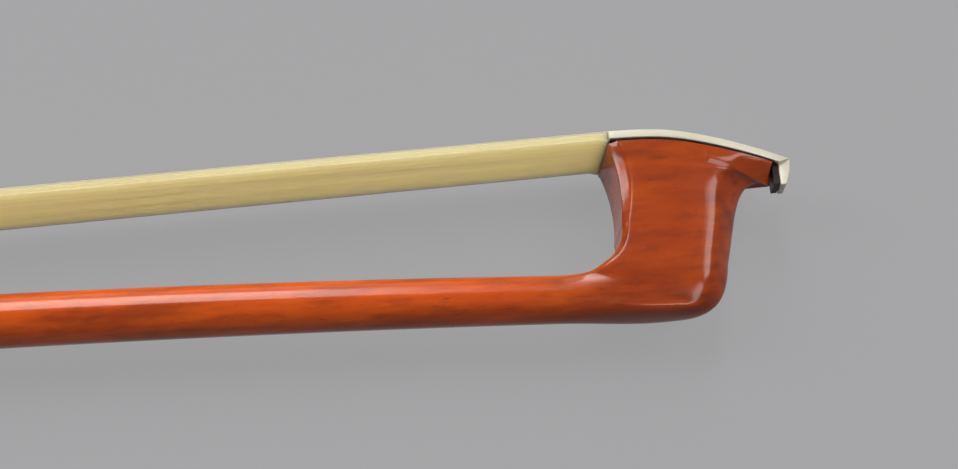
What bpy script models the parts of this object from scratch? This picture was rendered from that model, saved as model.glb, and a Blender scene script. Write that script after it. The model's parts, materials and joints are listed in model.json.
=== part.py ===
"""A violin bow: an octagonal handle, a cambered round stick, a faceted head, a flat ribbon of hair, and
a frog that slides on the stick when the screw in the butt is turned.

Units are metres. In the bow's own frame the stick's axis runs along +X from the shoulder of the butt,
the hair lies on the +Y side, and the bow is alike on both sides of Z = 0. An empty then sets the whole
bow on its side, with the origin at the middle of its foot.
"""
import math

import bmesh
import bpy
from mathutils import Matrix, Vector

# Clearances
FIT = 0.00006
SLIDE_GAP = 0.0001
THREAD_GAP = 0.0001
CUT_OVERRUN = 0.001

# Stick
HANDLE_FLATS = 0.0086
HANDLE_LENGTH = 0.095
ROUND_FROM = 0.135
TAPER_FROM = 0.110
TIP_DIAMETER = 0.0058
TAPER_RATE = 0.78
CAMBER_FROM = 0.070
CAMBER = 0.00845
HAIR_PLANE = 0.0203
RING_POINTS = 32
SHAFT_STATIONS = 18

# Head, measured from the rear edge of its plate at the hair's outer plane
HEAD_X = 0.7075
HEAD_DEPTH = 0.02375
HEAD_START = 0.009
BACK_TO_AXIS = 0.0036
HEAD_HALF_WIDTH = 0.0047
THROAT_RADIUS = 0.0052
THROAT_FOOT = 0.0005
REAR_TOP = 0.0002
REAR_HOLLOW = 0.0006
HEEL_LEAD = 0.0040
HEEL_END = 0.0070
HEEL_ROUND = 0.0034
WAIST_X = 0.0125
WAIST_HEIGHT = 0.00635
WAIST_LEAN = 0.0007
WAIST_FLARE = 0.0019
WAIST_RISE = 0.0050
NOSE_HOLLOW_X = 0.0186
NOSE_HOLLOW_DROP = 0.0069
HOLLOW_LEAD = 0.0034
HOLLOW_LIFT = 0.0002
NOSE_DROP = 0.0075

# Plate and liner on the head's face
FACE_SETBACK = 0.0003
FACE_SLOPE = 0.28
FACE_BEND = 0.0070
FACE_BEND_ROUND = 0.0040
PLATE_LENGTH = 0.0225
PLATE_THICKNESS = 0.00105
PLATE_HALF_WIDTH = 0.0048
NOSE_HALF_WIDTH = 0.0013
BEAK_THICKNESS = 0.0016
BEAK_DROP = 0.0080
BEAK_LEAN = 0.0011
BEAK_TIP_THICKNESS = 0.0007
BEAK_SWELL = 0.0002
LINER_THICKNESS = 0.0002
LINER_NOSE_THICKNESS = 0.00075
LINER_OVERHANG = 0.0003

# Hair mortise in the head
TIP_MORTISE_FROM = 0.0019
TIP_MORTISE_TO = 0.0085
TIP_MORTISE_HALF_WIDTH = 0.0035
TIP_MORTISE_DEPTH = 0.0082
TIP_PLUG_PROUD = 0.0003
TIP_PLUG_DEPTH = 0.0043

# Hair
HAIR_THICKNESS = 0.0009
HAIR_THICKNESS_TIP = 0.0012
HAIR_HALF_WIDTH_TIP = 0.0043
HAIR_HALF_WIDTH_FROG = 0.0054
HAIR_HALF_WIDTH_CHANNEL = 0.0042
KNOT_THREAD_WIDTH = 0.0012
KNOT_THREAD_THICKNESS = 0.00030

# Grip
LEATHER_FROM = 0.053
LEATHER_LENGTH = 0.038
LEATHER_THICKNESS = 0.0010
LAPPING_LENGTH = 0.073
LAPPING_THICKNESS = 0.0003
LAPPING_GAP = 0.0003

# Frog, measured from the outer face of its heel plate
FROG_X = 0.004
FROG_TIP = 0.0435
FROG_LIP = 0.0026
FROG_HALF_WIDTH_LIP = 0.00496
FROG_HALF_WIDTH_SLIDE = 0.0064
THUMB_Y = 0.0062
THUMB_TIP_Y = 0.0052
THUMB_SLOPE = 0.0022
FROG_THROAT_RADIUS = 0.0039
THROAT_UNDER_FERRULE = 0.0004
UNDERSLIDE_THICKNESS = 0.0004
HEEL_PLATE_THICKNESS = 0.0007
HEEL_PLATE_LENGTH = 0.0090
HEEL_PLATE_TOP = 0.0055
FROG_MORTISE_FROM = 0.0105
FROG_MORTISE_TO = 0.0190
FROG_MORTISE_FLOOR = 0.0108
CHANNEL_FLOOR = 0.0172
CHANNEL_HALF_WIDTH = 0.0044

# Ferrule and slide
FERRULE_FROM = 0.0365
FERRULE_LENGTH = 0.0115
FERRULE_HALF_WIDTH = 0.0066
FERRULE_WALL = 0.0005
FERRULE_HEIGHT = 0.0074
FERRULE_FLAT_SIDE = 0.0033
TONGUE_ROOT = 0.006
TONGUE_SHORT = 0.0002
WEDGE_SHORT = 0.0005
WEDGE_LENGTH = 0.0062
SLIDE_HALF_WIDTH = 0.0051
SLIDE_DEPTH = 0.0020
PEARL_THICKNESS = 0.0008

# Eyes in the frog's sides
EYE_X = 0.0250
EYE_Y = 0.0125
EYE_RING_RADIUS = 0.0036
EYE_RING_WIDTH = 0.0005
EYE_PEARL_RADIUS = 0.0022
EYE_DEPTH = 0.0006

# Pins
HEEL_PIN_RADIUS = 0.0005
HEEL_PIN_LENGTH = 0.0030
UNDERSLIDE_PIN_RADIUS = 0.0004
UNDERSLIDE_PIN_LENGTH = 0.0030
UNDERSLIDE_PIN_REAR_X = 0.0050
UNDERSLIDE_PIN_FRONT_X = 0.0320
HEEL_PIN_SPREAD = 0.0052

# Screw and eyelet
SCREW_RADIUS = 0.0016
THREAD_CREST_RADIUS = 0.00155
THREAD_ROOT_RADIUS = 0.00115
THREAD_PITCH = 0.0007
THREAD_FROM = 0.0202
THREAD_TURNS = 16
THREAD_STEPS = 12
SCREW_TIP_RADIUS = 0.0012
SCREW_END = 0.058
SCREW_POINT = 0.0008
SCREW_SEAT = 0.0012
SCREW_BORE_GAP = 0.00015
EYELET_X = 0.0225
EYELET_LENGTH = 0.005
EYELET_HALF_WIDTH = 0.0020
EYELET_BOTTOM = 0.0022
EYELET_TOP = 0.0025
EYELET_STEM_RADIUS = 0.0014
EYELET_STEM_TOP = 0.0090
STICK_MORTISE_LENGTH = 0.016
STICK_MORTISE_MARGIN = 0.0002
TIGHTEN_TRAVEL = 0.0035
SLACKEN_TRAVEL = 0.0021

# Button, measured back from the shoulder of the butt
NIPPLE_RADIUS = 0.00325
NIPPLE_LENGTH = 0.0022
BUTTON_GAP = 0.0001
BUTTON_RING_FRONT = 0.0036
BUTTON_CORE = 0.0063
BUTTON_RING_REAR = 0.0030
BUTTON_CORE_FLARE = 0.0008
BUTTON_CORE_HOLLOW = 0.0003
BUTTON_BEVEL = 0.0005
BUTTON_PEARL_RADIUS = 0.0031
BUTTON_PEARL_DEPTH = 0.0009
BUTTON_POINTS = 16
BUTTON_PIN_RADIUS = 0.0004
BUTTON_PIN_LENGTH = 0.0012
BUTTON_PIN_INSET = 0.0007

# Sizes that follow from the ones above
TIP_AXIS_Y = HAIR_PLANE - HEAD_DEPTH + BACK_TO_AXIS
LEATHER_TO = LEATHER_FROM + LEATHER_LENGTH
LAPPING_FROM = LEATHER_TO + LAPPING_GAP
UNDERSLIDE_INNER = HANDLE_FLATS / 2 + SLIDE_GAP
UNDERSLIDE_OUTER = UNDERSLIDE_INNER + UNDERSLIDE_THICKNESS
FERRULE_OUTER_Y = HAIR_PLANE + FIT + FERRULE_WALL
FERRULE_TOP_Y = FERRULE_OUTER_Y - FERRULE_HEIGHT
WEDGE_TO = FERRULE_FROM + FERRULE_LENGTH - WEDGE_SHORT
WEDGE_FROM = WEDGE_TO - WEDGE_LENGTH
BUTTON_CORE_FROM = BUTTON_GAP + BUTTON_RING_FRONT + FIT
BUTTON_REAR_FROM = BUTTON_CORE_FROM + BUTTON_CORE + FIT
BUTTON_END = BUTTON_REAR_FROM + BUTTON_RING_REAR

# Colours: red, green, blue, then roughness and metallic
FINISHES = {
    "pernambuco": ((0.42, 0.11, 0.03), 0.25, 0.0),
    "bone": ((0.75, 0.72, 0.60), 0.35, 0.0),
    "ebony": ((0.015, 0.013, 0.012), 0.30, 0.0),
    "horsehair": ((0.75, 0.58, 0.30), 0.45, 0.0),
    "silver": ((0.80, 0.80, 0.78), 0.22, 1.0),
    "brass": ((0.70, 0.52, 0.22), 0.30, 1.0),
    "steel": ((0.55, 0.55, 0.56), 0.28, 1.0),
    "pearl": ((0.80, 0.82, 0.78), 0.18, 0.0),
    "leather": ((0.10, 0.05, 0.03), 0.60, 0.0),
    "plug_wood": ((0.62, 0.45, 0.26), 0.55, 0.0),
    "thread": ((0.55, 0.10, 0.08), 0.60, 0.0),
}


# Small helpers

def lerp(a, b, t):
    return a + (b - a) * t


def smooth_step(t):
    t = min(max(t, 0.0), 1.0)
    return t * t * (3 - 2 * t)


def blend(p, q, t):
    return (lerp(p[0], q[0], t), lerp(p[1], q[1], t))


def bezier(p, q, r, s, t):
    """Point on a cubic curve in the side view."""
    u = 1 - t
    weights = (u ** 3, 3 * u * u * t, 3 * u * t * t, t ** 3)
    x = sum(w * point[0] for w, point in zip(weights, (p, q, r, s)))
    y = sum(w * point[1] for w, point in zip(weights, (p, q, r, s)))
    return (x, y)


def spread(start, end, count):
    return [lerp(start, end, i / count) for i in range(count + 1)]


def make_material(name):
    colour, roughness, metallic = FINISHES[name]
    material = bpy.data.materials.new(name)
    material.use_nodes = True
    shader = material.node_tree.nodes["Principled BSDF"]
    shader.inputs["Base Color"].default_value = (*colour, 1.0)
    shader.inputs["Roughness"].default_value = roughness
    shader.inputs["Metallic"].default_value = metallic
    material.diffuse_color = (*colour, 1.0)
    return material


def add_object(name, mesh_data, finish=None, parent=None, smooth=False):
    """Make an object from (points, faces), in its parent's frame. With no finish it is a cutter."""
    points, faces = mesh_data
    mesh = bpy.data.meshes.new(name)
    mesh.from_pydata([tuple(p) for p in points], [], faces)
    shape = bmesh.new()
    shape.from_mesh(mesh)
    bmesh.ops.recalc_face_normals(shape, faces=shape.faces)
    shape.to_mesh(mesh)
    shape.free()
    if smooth:
        mesh.shade_smooth()
        mesh.set_sharp_from_angle(angle=math.radians(30))
    thing = bpy.data.objects.new(name, mesh)
    bpy.context.scene.collection.objects.link(thing)
    thing.parent = parent
    if finish is None:
        thing.hide_render = True
        thing.display_type = "WIRE"
    else:
        mesh.materials.append(bpy.data.materials[finish])
    return thing


def boolean(target, tool, operation="DIFFERENCE"):
    modifier = target.modifiers.new(tool.name, "BOOLEAN")
    modifier.operation = operation
    modifier.object = tool
    modifier.solver = "EXACT"


def loft(rings, closed=False):
    """Skin rings of equally many points; the ends are capped, or joined to each other."""
    points = [point for ring in rings for point in ring]
    count = len(rings[0])
    faces = []
    steps = len(rings) if closed else len(rings) - 1
    for k in range(steps):
        here = k * count
        there = (k + 1) % len(rings) * count
        for i in range(count):
            j = (i + 1) % count
            faces.append((here + i, here + j, there + j, there + i))
    if not closed:
        faces.append(tuple(range(count)))
        faces.append(tuple(range(len(points) - count, len(points))))
    return points, faces


def side_prism(outline, half_width):
    """A side-view outline given its width; half_width is a number or a function of y."""
    width_at = half_width if callable(half_width) else lambda y: half_width
    near = [(x, y, width_at(y)) for x, y in outline]
    far = [(x, y, -width_at(y)) for x, y in outline]
    return loft([far, near])


def end_prism(outline, x_from, x_to):
    """An outline of (y, z) points drawn out along X."""
    return loft([[(x, y, z) for y, z in outline] for x in (x_from, x_to)])


def box(low, high):
    outline = [(low[0], low[1]), (high[0], low[1]), (high[0], high[1]), (low[0], high[1])]
    far = [(x, y, low[2]) for x, y in outline]
    near = [(x, y, high[2]) for x, y in outline]
    return loft([far, near])


def turned(profile, sides):
    """A round solid along X from (x, radius) pairs."""
    rings = []
    for x, radius in profile:
        angles = [2 * math.pi * i / sides for i in range(sides)]
        rings.append([(x, radius * math.cos(a), radius * math.sin(a)) for a in angles])
    return loft(rings)


def post(height_from, height_to, radius, sides):
    """A round solid along Y, centred on the parent's Y axis."""
    points, faces = turned([(height_from, radius), (height_to, radius)], sides)
    return [(-y, x, z) for x, y, z in points], faces


def octagon_reach(angle, half_flats):
    wrapped = (angle + math.pi / 8) % (math.pi / 4) - math.pi / 8
    return half_flats / math.cos(wrapped)


# The stick's line and thickness

def axis_share(x):
    return max(x - CAMBER_FROM, 0.0) / (HEAD_X - HEAD_START / 2 - CAMBER_FROM)


def axis_y(x):
    """Height of the stick's cambered axis; the camber is deepest at two thirds of the way."""
    t = axis_share(x)
    return CAMBER * 6.75 * (1 - t) * t * t + TIP_AXIS_Y * t ** 3


def axis_slope(x):
    t = axis_share(x)
    rise = CAMBER * 6.75 * (2 * t - 3 * t * t) + TIP_AXIS_Y * 3 * t * t
    return rise / (HEAD_X - HEAD_START / 2 - CAMBER_FROM)


def stick_diameter(x):
    """The classic taper: slow at the handle and quicker towards the head."""
    t = max(x - TAPER_FROM, 0.0) / (HEAD_X - HEAD_START - TAPER_FROM)
    fall = math.log(1 - TAPER_RATE * t) / math.log(1 - TAPER_RATE)
    return lerp(HANDLE_FLATS, TIP_DIAMETER, fall)


def stick_ring(x, offset=0.0):
    """Section of the stick at x, grown by offset: an octagon on the handle, round further on."""
    half = stick_diameter(x) / 2 + offset
    roundness = smooth_step((x - HANDLE_LENGTH) / (ROUND_FROM - HANDLE_LENGTH))
    lean = math.atan(axis_slope(x))
    ring = []
    for i in range(RING_POINTS):
        angle = 2 * math.pi * i / RING_POINTS
        reach = lerp(octagon_reach(angle, half), half, roundness)
        up = reach * math.cos(angle)
        ring.append((x - up * math.sin(lean), axis_y(x) + up * math.cos(lean), reach * math.sin(angle)))
    return ring


def stick_stations(x_from, x_to):
    """Where the stick has its sections, with both ends of the stretch that is asked for."""
    turning = spread(HANDLE_LENGTH, ROUND_FROM, 4)
    shaft = spread(ROUND_FROM, HEAD_X - HEAD_START, SHAFT_STATIONS)
    inner = [x for x in [CAMBER_FROM] + turning + shaft[1:] if x_from < x < x_to]
    return [x_from] + inner + [x_to]


def stick_side(x, side):
    """Point of the stick's outline on the mid plane, on the hair side (+1) or the back (-1)."""
    lean = math.atan(axis_slope(x))
    reach = side * stick_diameter(x) / 2
    return (x - reach * math.sin(lean), axis_y(x) + reach * math.cos(lean))


# The head's face, where the plate lies

def face_drop(x):
    """How far the face has fallen away from the hair's plane at x behind the rear edge."""
    def fall(at):
        return FACE_SLOPE / 2 * (at + math.hypot(at, FACE_BEND_ROUND))
    return fall(x - FACE_BEND) - fall(-FACE_BEND)


def plate_outer_y(x):
    return -FACE_SETBACK - face_drop(x)


def plate_inner_y(x):
    return plate_outer_y(x) - PLATE_THICKNESS


def wood_top_y(x):
    return plate_inner_y(x) - LINER_THICKNESS - 2 * FIT


def face_half_width(x, rear=PLATE_HALF_WIDTH):
    share = min(max(x / PLATE_LENGTH, 0.0), 1.0)
    return lerp(rear, NOSE_HALF_WIDTH, share ** 2.6)


def beak_inner_x(y):
    """The beak's inner face leans back towards its tip."""
    corner_x = PLATE_LENGTH - BEAK_THICKNESS
    tip_x = PLATE_LENGTH - BEAK_LEAN - BEAK_TIP_THICKNESS
    share = (y - plate_inner_y(corner_x)) / (-BEAK_DROP - plate_inner_y(corner_x))
    return lerp(corner_x, tip_x, share)


def nose_wood_x(y):
    return beak_inner_x(y) - LINER_NOSE_THICKNESS - 2 * FIT


# The head's two mid-plane lines, for v from 0 at the stick to 1 at the face

THROAT_FROM_V = 0.18
REAR_FROM_V = 0.55
HEEL_V = 0.20
WAIST_V = 0.50
NOSE_V = 0.88
UNDER_V = 0.985
HEAD_SECTIONS = 22


def rear_line(v):
    """Stick, then the throat's quarter circle, then the slightly hollow rear face."""
    start = stick_side(HEAD_X - HEAD_START, 1)
    foot = stick_side(HEAD_X - THROAT_FOOT - THROAT_RADIUS, 1)
    start = (start[0] - HEAD_X, start[1] - HAIR_PLANE)
    foot = (foot[0] - HEAD_X, foot[1] - HAIR_PLANE)
    if v < THROAT_FROM_V:
        return blend(start, foot, v / THROAT_FROM_V)
    if v < REAR_FROM_V:
        angle = math.pi / 2 * (v - THROAT_FROM_V) / (REAR_FROM_V - THROAT_FROM_V)
        x = foot[0] + THROAT_RADIUS * math.sin(angle)
        return (x, foot[1] + THROAT_RADIUS * (1 - math.cos(angle)))
    t = (v - REAR_FROM_V) / (1 - REAR_FROM_V)
    low = (foot[0] + THROAT_RADIUS, foot[1] + THROAT_RADIUS)
    high = (-REAR_TOP, wood_top_y(-REAR_TOP))
    x, y = blend(low, high, t)
    return (x + REAR_HOLLOW * 4 * t * (1 - t), y)


def ridge_line(v):
    """Back of the head, its rounded heel, the waist, and the hollow under the nose."""
    start = stick_side(HEAD_X - HEAD_START, -1)
    start = (start[0] - HEAD_X, start[1] - HAIR_PLANE)
    back = (HEEL_END, -HEAD_DEPTH)
    waist = (WAIST_X, -HEAD_DEPTH + WAIST_HEIGHT)
    hollow = (NOSE_HOLLOW_X, -NOSE_HOLLOW_DROP)
    under = (nose_wood_x(-NOSE_DROP), -NOSE_DROP)
    if v < HEEL_V:
        t = v / HEEL_V
        return bezier(start, blend(start, back, 0.3), (back[0] - HEEL_LEAD, back[1]), back, t)
    if v < WAIST_V:
        t = (v - HEEL_V) / (WAIST_V - HEEL_V)
        turn = (back[0] + HEEL_ROUND, back[1])
        rise = (waist[0] - WAIST_LEAN, waist[1] - HEEL_ROUND)
        return bezier(back, turn, rise, waist, t)
    if v < NOSE_V:
        t = (v - WAIST_V) / (NOSE_V - WAIST_V)
        above = (waist[0] + WAIST_FLARE, waist[1] + WAIST_RISE)
        before = (hollow[0] - HOLLOW_LEAD, hollow[1] + HOLLOW_LIFT)
        return bezier(waist, above, before, hollow, t)
    t = (v - NOSE_V) / (UNDER_V - NOSE_V)
    return bezier(hollow, blend(hollow, under, 0.4), blend(hollow, under, 0.7), under, min(t, 1.0))


HALF_RING = RING_POINTS // 2
REAR_EDGE = 4
SIDE_START = 5
SIDE_END = 11


def head_profile(v):
    """Half section as (share of the way from rear to ridge, share of the half width) pairs."""
    chamfer = 0.06 * smooth_step((1 - v) / 0.12) + 0.002
    side_end = lerp(0.80, 0.68, smooth_step((v - 0.6) / 0.4))
    front_width = lerp(0.76, 0.80, v)
    pairs = []
    for i in range(HALF_RING + 1):
        if i <= REAR_EDGE:
            rear_flat = lerp(0.84, 0.985, smooth_step((v - 0.88) / 0.12))
            pairs.append((0.0, rear_flat * i / REAR_EDGE))
        elif i <= SIDE_END:
            t = (i - SIDE_START) / (SIDE_END - SIDE_START)
            pairs.append((lerp(chamfer, side_end, t), 1 - (1 - front_width) * t ** 1.6))
        else:
            t = (i - SIDE_END) / (HALF_RING - SIDE_END)
            ridge = lerp(front_width, 0.0, t) + 0.04 * math.sin(math.pi * t)
            pairs.append((lerp(side_end, 1.0, 1 - (1 - t) ** 1.15), ridge))
    return pairs


def head_ring(v):
    """A section of the head: round like the stick at first, faceted from a third of the way up."""
    rear = rear_line(v)
    ridge = ridge_line(v)
    facets = smooth_step(v / 0.45)
    round_half = TIP_DIAMETER / 2
    half_width = lerp(round_half, HEAD_HALF_WIDTH, v ** 1.3)
    profile = head_profile(v)
    half = []
    for i in range(HALF_RING + 1):
        angle = math.pi * i / HALF_RING
        share = lerp((1 - math.cos(angle)) / 2, profile[i][0], facets)
        width = half_width * lerp(math.sin(angle), profile[i][1], facets)
        x, y = blend(rear, ridge, share)
        half.append((HEAD_X + x, HAIR_PLANE + y, width))
    return mirror_half(half)


def head_top_ring():
    """The rim of the wooden face, which follows the plate's outline."""
    profile = head_profile(1.0)
    end_x = nose_wood_x(wood_top_y(PLATE_LENGTH - BEAK_THICKNESS))
    half = []
    for i in range(HALF_RING + 1):
        share = profile[i][0]
        if i > SIDE_END:
            share = lerp(profile[SIDE_END][0], 1.0, (i - SIDE_END) / (HALF_RING - 1 - SIDE_END))
        x = lerp(-REAR_TOP, end_x, min(share, 1.0))
        width = face_half_width(x, HEAD_HALF_WIDTH)
        if i < REAR_EDGE:
            width *= i / REAR_EDGE
        if i == HALF_RING:
            width = 0.0
        half.append((HEAD_X + x, HAIR_PLANE + wood_top_y(x), width))
    return mirror_half(half)


def mirror_half(half):
    """The far half repeats the near one, without its two points on the mid plane."""
    far = [(x, y, -z) for x, y, z in reversed(half[1:-1])]
    return half + far


def stick_mesh():
    rings = [stick_ring(x) for x in stick_stations(0.0, HEAD_X - HEAD_START)]
    rings += [head_ring(v) for v in spread(0.0, UNDER_V, HEAD_SECTIONS)[1:]]
    rings.append(head_top_ring())
    points, faces = loft(rings)
    # The face bends, so its cap is a row of strips across it, with one wider face at each end
    faces.pop()
    first = len(points) - RING_POINTS
    faces.append(tuple(first + i % RING_POINTS for i in range(-SIDE_START, SIDE_START + 1)))
    for i in range(SIDE_START, HALF_RING - 2):
        faces.append((first + i, first + i + 1, first + RING_POINTS - i - 1, first + RING_POINTS - i))
    faces.append(tuple(range(first + HALF_RING - 2, first + HALF_RING + 3)))
    return points, faces


# Hair: one hank from the knot in the frog to the knot in the head

def strip_ring(before, here, after, grow=0.0):
    """Section of the hank across its path; stations are (x, y, thickness, half width)."""
    along = Vector((after[0] - before[0], after[1] - before[1])).normalized()
    across = Vector((-along.y, along.x))
    thick = here[2] / 2 + grow
    wide = here[3] + grow
    corner = min(thick, wide) * 0.5
    outline = [(-thick, wide - corner), (-thick + corner, wide)]
    outline += [(thick - corner, wide), (thick, wide - corner)]
    outline += [(t, -z) for t, z in reversed(outline)]
    return [(here[0] + across.x * t, here[1] + across.y * t, z) for t, z in outline]


def strip(stations):
    last = len(stations) - 1
    rings = []
    for k, here in enumerate(stations):
        rings.append(strip_ring(stations[max(k - 1, 0)], here, stations[min(k + 1, last)]))
    return loft(rings)


def frog_knot_stations():
    """The tied end, lying in the frog's mortise."""
    y = FROG_MORTISE_FLOOR + 0.0018
    x = FROG_X + FROG_MORTISE_FROM
    return [(x + 0.0007, y, 0.0022, 0.0015), (x + 0.0031, y, 0.0022, 0.0015)]


def tip_knot_stations():
    y = HAIR_PLANE - TIP_MORTISE_DEPTH + 0.00125
    x = HEAD_X + TIP_MORTISE_FROM
    return [(x + 0.0025, y, 0.0016, 0.0015), (x + 0.0045, y, 0.0016, 0.0014)]


def hair_stations():
    wall = FROG_X + FROG_MORTISE_TO
    channel_y = CHANNEL_FLOOR + 0.00052
    ribbon_y = HAIR_PLANE - HAIR_THICKNESS / 2
    ferrule = FROG_X + FERRULE_FROM
    frog = frog_knot_stations()
    frog.append((wall - 0.0034, FROG_MORTISE_FLOOR + 0.0021, 0.0018, 0.0024))
    frog.append((wall - 0.0016, FROG_MORTISE_FLOOR + 0.0034, 0.0012, 0.0036))
    frog.append((wall - 0.0010, CHANNEL_FLOOR - 0.0010, 0.0010, HAIR_HALF_WIDTH_CHANNEL))
    frog.append((wall - 0.0008, CHANNEL_FLOOR + 0.00025, 0.0008, HAIR_HALF_WIDTH_CHANNEL))
    frog.append((wall + 0.0003, CHANNEL_FLOOR + 0.00065, 0.0008, HAIR_HALF_WIDTH_CHANNEL))
    frog.append((wall + 0.0020, channel_y, 0.00085, HAIR_HALF_WIDTH_CHANNEL))
    frog.append((ferrule + 0.0003, channel_y, 0.00085, HAIR_HALF_WIDTH_CHANNEL))
    frog.append((ferrule + 0.0018, channel_y + 0.0006, HAIR_THICKNESS, 0.0047))
    frog.append((ferrule + 0.0034, ribbon_y - 0.0005, HAIR_THICKNESS, 0.0052))
    frog.append((FROG_X + WEDGE_FROM - 0.0004, ribbon_y, HAIR_THICKNESS, HAIR_HALF_WIDTH_FROG))
    frog.append((ferrule + FERRULE_LENGTH, ribbon_y, HAIR_THICKNESS, HAIR_HALF_WIDTH_FROG))
    edge = HEAD_X + TIP_MORTISE_FROM
    over = HAIR_PLANE - FACE_SETBACK / 2 + 0.00002
    thin = FACE_SETBACK - 0.0001
    tip_y = HAIR_PLANE - HAIR_THICKNESS_TIP / 2
    tip = [(HEAD_X - 0.00040, tip_y, HAIR_THICKNESS_TIP, HAIR_HALF_WIDTH_TIP)]
    tip.append((HEAD_X - 0.00012, over, thin + 0.0001, HAIR_HALF_WIDTH_TIP))
    tip.append((HEAD_X + 0.0004, over, thin, 0.0040))
    tip.append((edge, over + 0.00004, thin, 0.0034))
    tip.append((edge + 0.00045, HAIR_PLANE - 0.00040, 0.0003, 0.0033))
    tip.append((edge + 0.00062, HAIR_PLANE - 0.0010, 0.0005, 0.0032))
    tip.append((edge + 0.00075, HAIR_PLANE - 0.0020, 0.0008, 0.0031))
    tip.append((edge + 0.00080, HAIR_PLANE - 0.0042, 0.0010, 0.0027))
    tip.append((edge + 0.00125, HAIR_PLANE - TIP_MORTISE_DEPTH + 0.0020, 0.0013, 0.0020))
    tip += tip_knot_stations()
    return frog + tip


def knot_thread(stations):
    """A band of thread round the tied end, halfway along it."""
    start, end = stations
    middle = tuple(lerp(a, b, 0.5) for a, b in zip(start, end))
    rings = []
    sides = ((-1, FIT + KNOT_THREAD_THICKNESS), (1, FIT + KNOT_THREAD_THICKNESS), (1, FIT), (-1, FIT))
    for side, grow in sides:
        here = (middle[0] + side * KNOT_THREAD_WIDTH / 2,) + middle[1:]
        rings.append(strip_ring(start, here, end, grow))
    return loft(rings, closed=True)


# Screw thread

def helix_ridge(x_from, turns, root, crest, foot_half, crest_half):
    """A closed ridge wound on the X axis; foot_half and crest_half are its half widths along X."""
    rings = []
    for step in range(turns * THREAD_STEPS + 1):
        angle = 2 * math.pi * step / THREAD_STEPS
        x = x_from + THREAD_PITCH * step / THREAD_STEPS
        corners = ((root, -foot_half), (crest, -crest_half), (crest, crest_half), (root, foot_half))
        rings.append([(x + dx, r * math.cos(angle), r * math.sin(angle)) for r, dx in corners])
    return loft(rings)


def ridge_halves(gap=0.0):
    return THREAD_PITCH * 0.36 + gap, THREAD_PITCH * 0.12 + gap


# Pieces that stay with the stick

def make_stick(bow):
    stick = add_object("stick", stick_mesh(), "pernambuco", bow, smooth=True)
    nipple = turned([(-NIPPLE_LENGTH, NIPPLE_RADIUS), (CUT_OVERRUN, NIPPLE_RADIUS)], 24)
    boolean(stick, add_object("nipple_tool", nipple, None, bow), "UNION")
    middle = FROG_X + EYELET_X + (SLACKEN_TRAVEL - TIGHTEN_TRAVEL) / 2
    low = (middle - STICK_MORTISE_LENGTH / 2, -EYELET_BOTTOM - STICK_MORTISE_MARGIN * 2,
           -EYELET_HALF_WIDTH - STICK_MORTISE_MARGIN)
    high = (middle + STICK_MORTISE_LENGTH / 2, HANDLE_FLATS, EYELET_HALF_WIDTH + STICK_MORTISE_MARGIN)
    boolean(stick, add_object("eyelet_mortise_tool", box(low, high), None, bow))
    wide = SCREW_RADIUS + SCREW_BORE_GAP
    narrow = SCREW_TIP_RADIUS + SCREW_BORE_GAP
    step = high[0] + 0.002
    profile = [(-NIPPLE_LENGTH - CUT_OVERRUN, wide), (step, wide), (step, narrow)]
    profile.append((SCREW_END + 0.001, narrow))
    boolean(stick, add_object("screw_bore_tool", turned(profile, 20), None, bow))
    boolean(stick, tip_mortise_tool(bow))


def tip_mortise_tool(bow):
    tool = bpy.data.objects.get("tip_mortise_tool")
    if tool is None:
        low = (HEAD_X + TIP_MORTISE_FROM, HAIR_PLANE - TIP_MORTISE_DEPTH, -TIP_MORTISE_HALF_WIDTH)
        high = (HEAD_X + TIP_MORTISE_TO, HAIR_PLANE + CUT_OVERRUN, TIP_MORTISE_HALF_WIDTH)
        tool = add_object("tip_mortise_tool", box(low, high), None, bow)
    return tool


def face_ring(outer, inner, outer_half, inner_half):
    """Section across the head's face: two points of the side view, each with its half width."""
    corners = [(outer, outer_half), (outer, -outer_half), (inner, -inner_half), (inner, inner_half)]
    return [(HEAD_X + x, HAIR_PLANE + y, z) for (x, y), z in corners]


def make_head_plate(bow):
    corner = PLATE_LENGTH - BEAK_THICKNESS
    rings = []
    for out_x, in_x in zip(spread(0.0, PLATE_LENGTH, 12), spread(0.0, corner, 12)):
        outer = (out_x, plate_outer_y(out_x))
        inner = (in_x, plate_inner_y(in_x))
        rings.append(face_ring(outer, inner, face_half_width(out_x), face_half_width(in_x)))
    front = (PLATE_LENGTH, plate_outer_y(PLATE_LENGTH))
    tip = (PLATE_LENGTH - BEAK_LEAN, -BEAK_DROP)
    for share in spread(0.0, 1.0, 4)[1:]:
        outer = blend(front, tip, share)
        outer = (outer[0] + BEAK_SWELL * math.sin(math.pi * share), outer[1])
        y = lerp(plate_inner_y(corner), -BEAK_DROP, share)
        rings.append(face_ring(outer, (beak_inner_x(y), y), NOSE_HALF_WIDTH, NOSE_HALF_WIDTH))
    plate = add_object("head_plate", loft(rings), "bone", bow, smooth=True)
    boolean(plate, tip_mortise_tool(bow))


def make_head_liner(bow):
    rings = []
    turn_x = beak_inner_x(plate_inner_y(PLATE_LENGTH - BEAK_THICKNESS)) - FIT
    turn_from = turn_x - LINER_NOSE_THICKNESS
    for x in spread(0.0, turn_from, 10):
        top = plate_inner_y(x) - FIT
        half = face_half_width(x)
        rings.append(face_ring((x, top), (x, top - LINER_THICKNESS), half, half))
    bottom = -NOSE_DROP - LINER_OVERHANG
    for share in (0.0, 0.5, 1.0):
        y = lerp(plate_inner_y(turn_x) - FIT, bottom, share)
        inner_y = min(y, plate_inner_y(turn_from) - FIT - LINER_THICKNESS - 0.00005)
        outer = (beak_inner_x(y) - FIT, y)
        inner = (beak_inner_x(inner_y) - FIT - LINER_NOSE_THICKNESS, inner_y)
        rings.append(face_ring(outer, inner, NOSE_HALF_WIDTH, NOSE_HALF_WIDTH))
    liner = add_object("head_liner", loft(rings), "ebony", bow)
    boolean(liner, tip_mortise_tool(bow))


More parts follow.
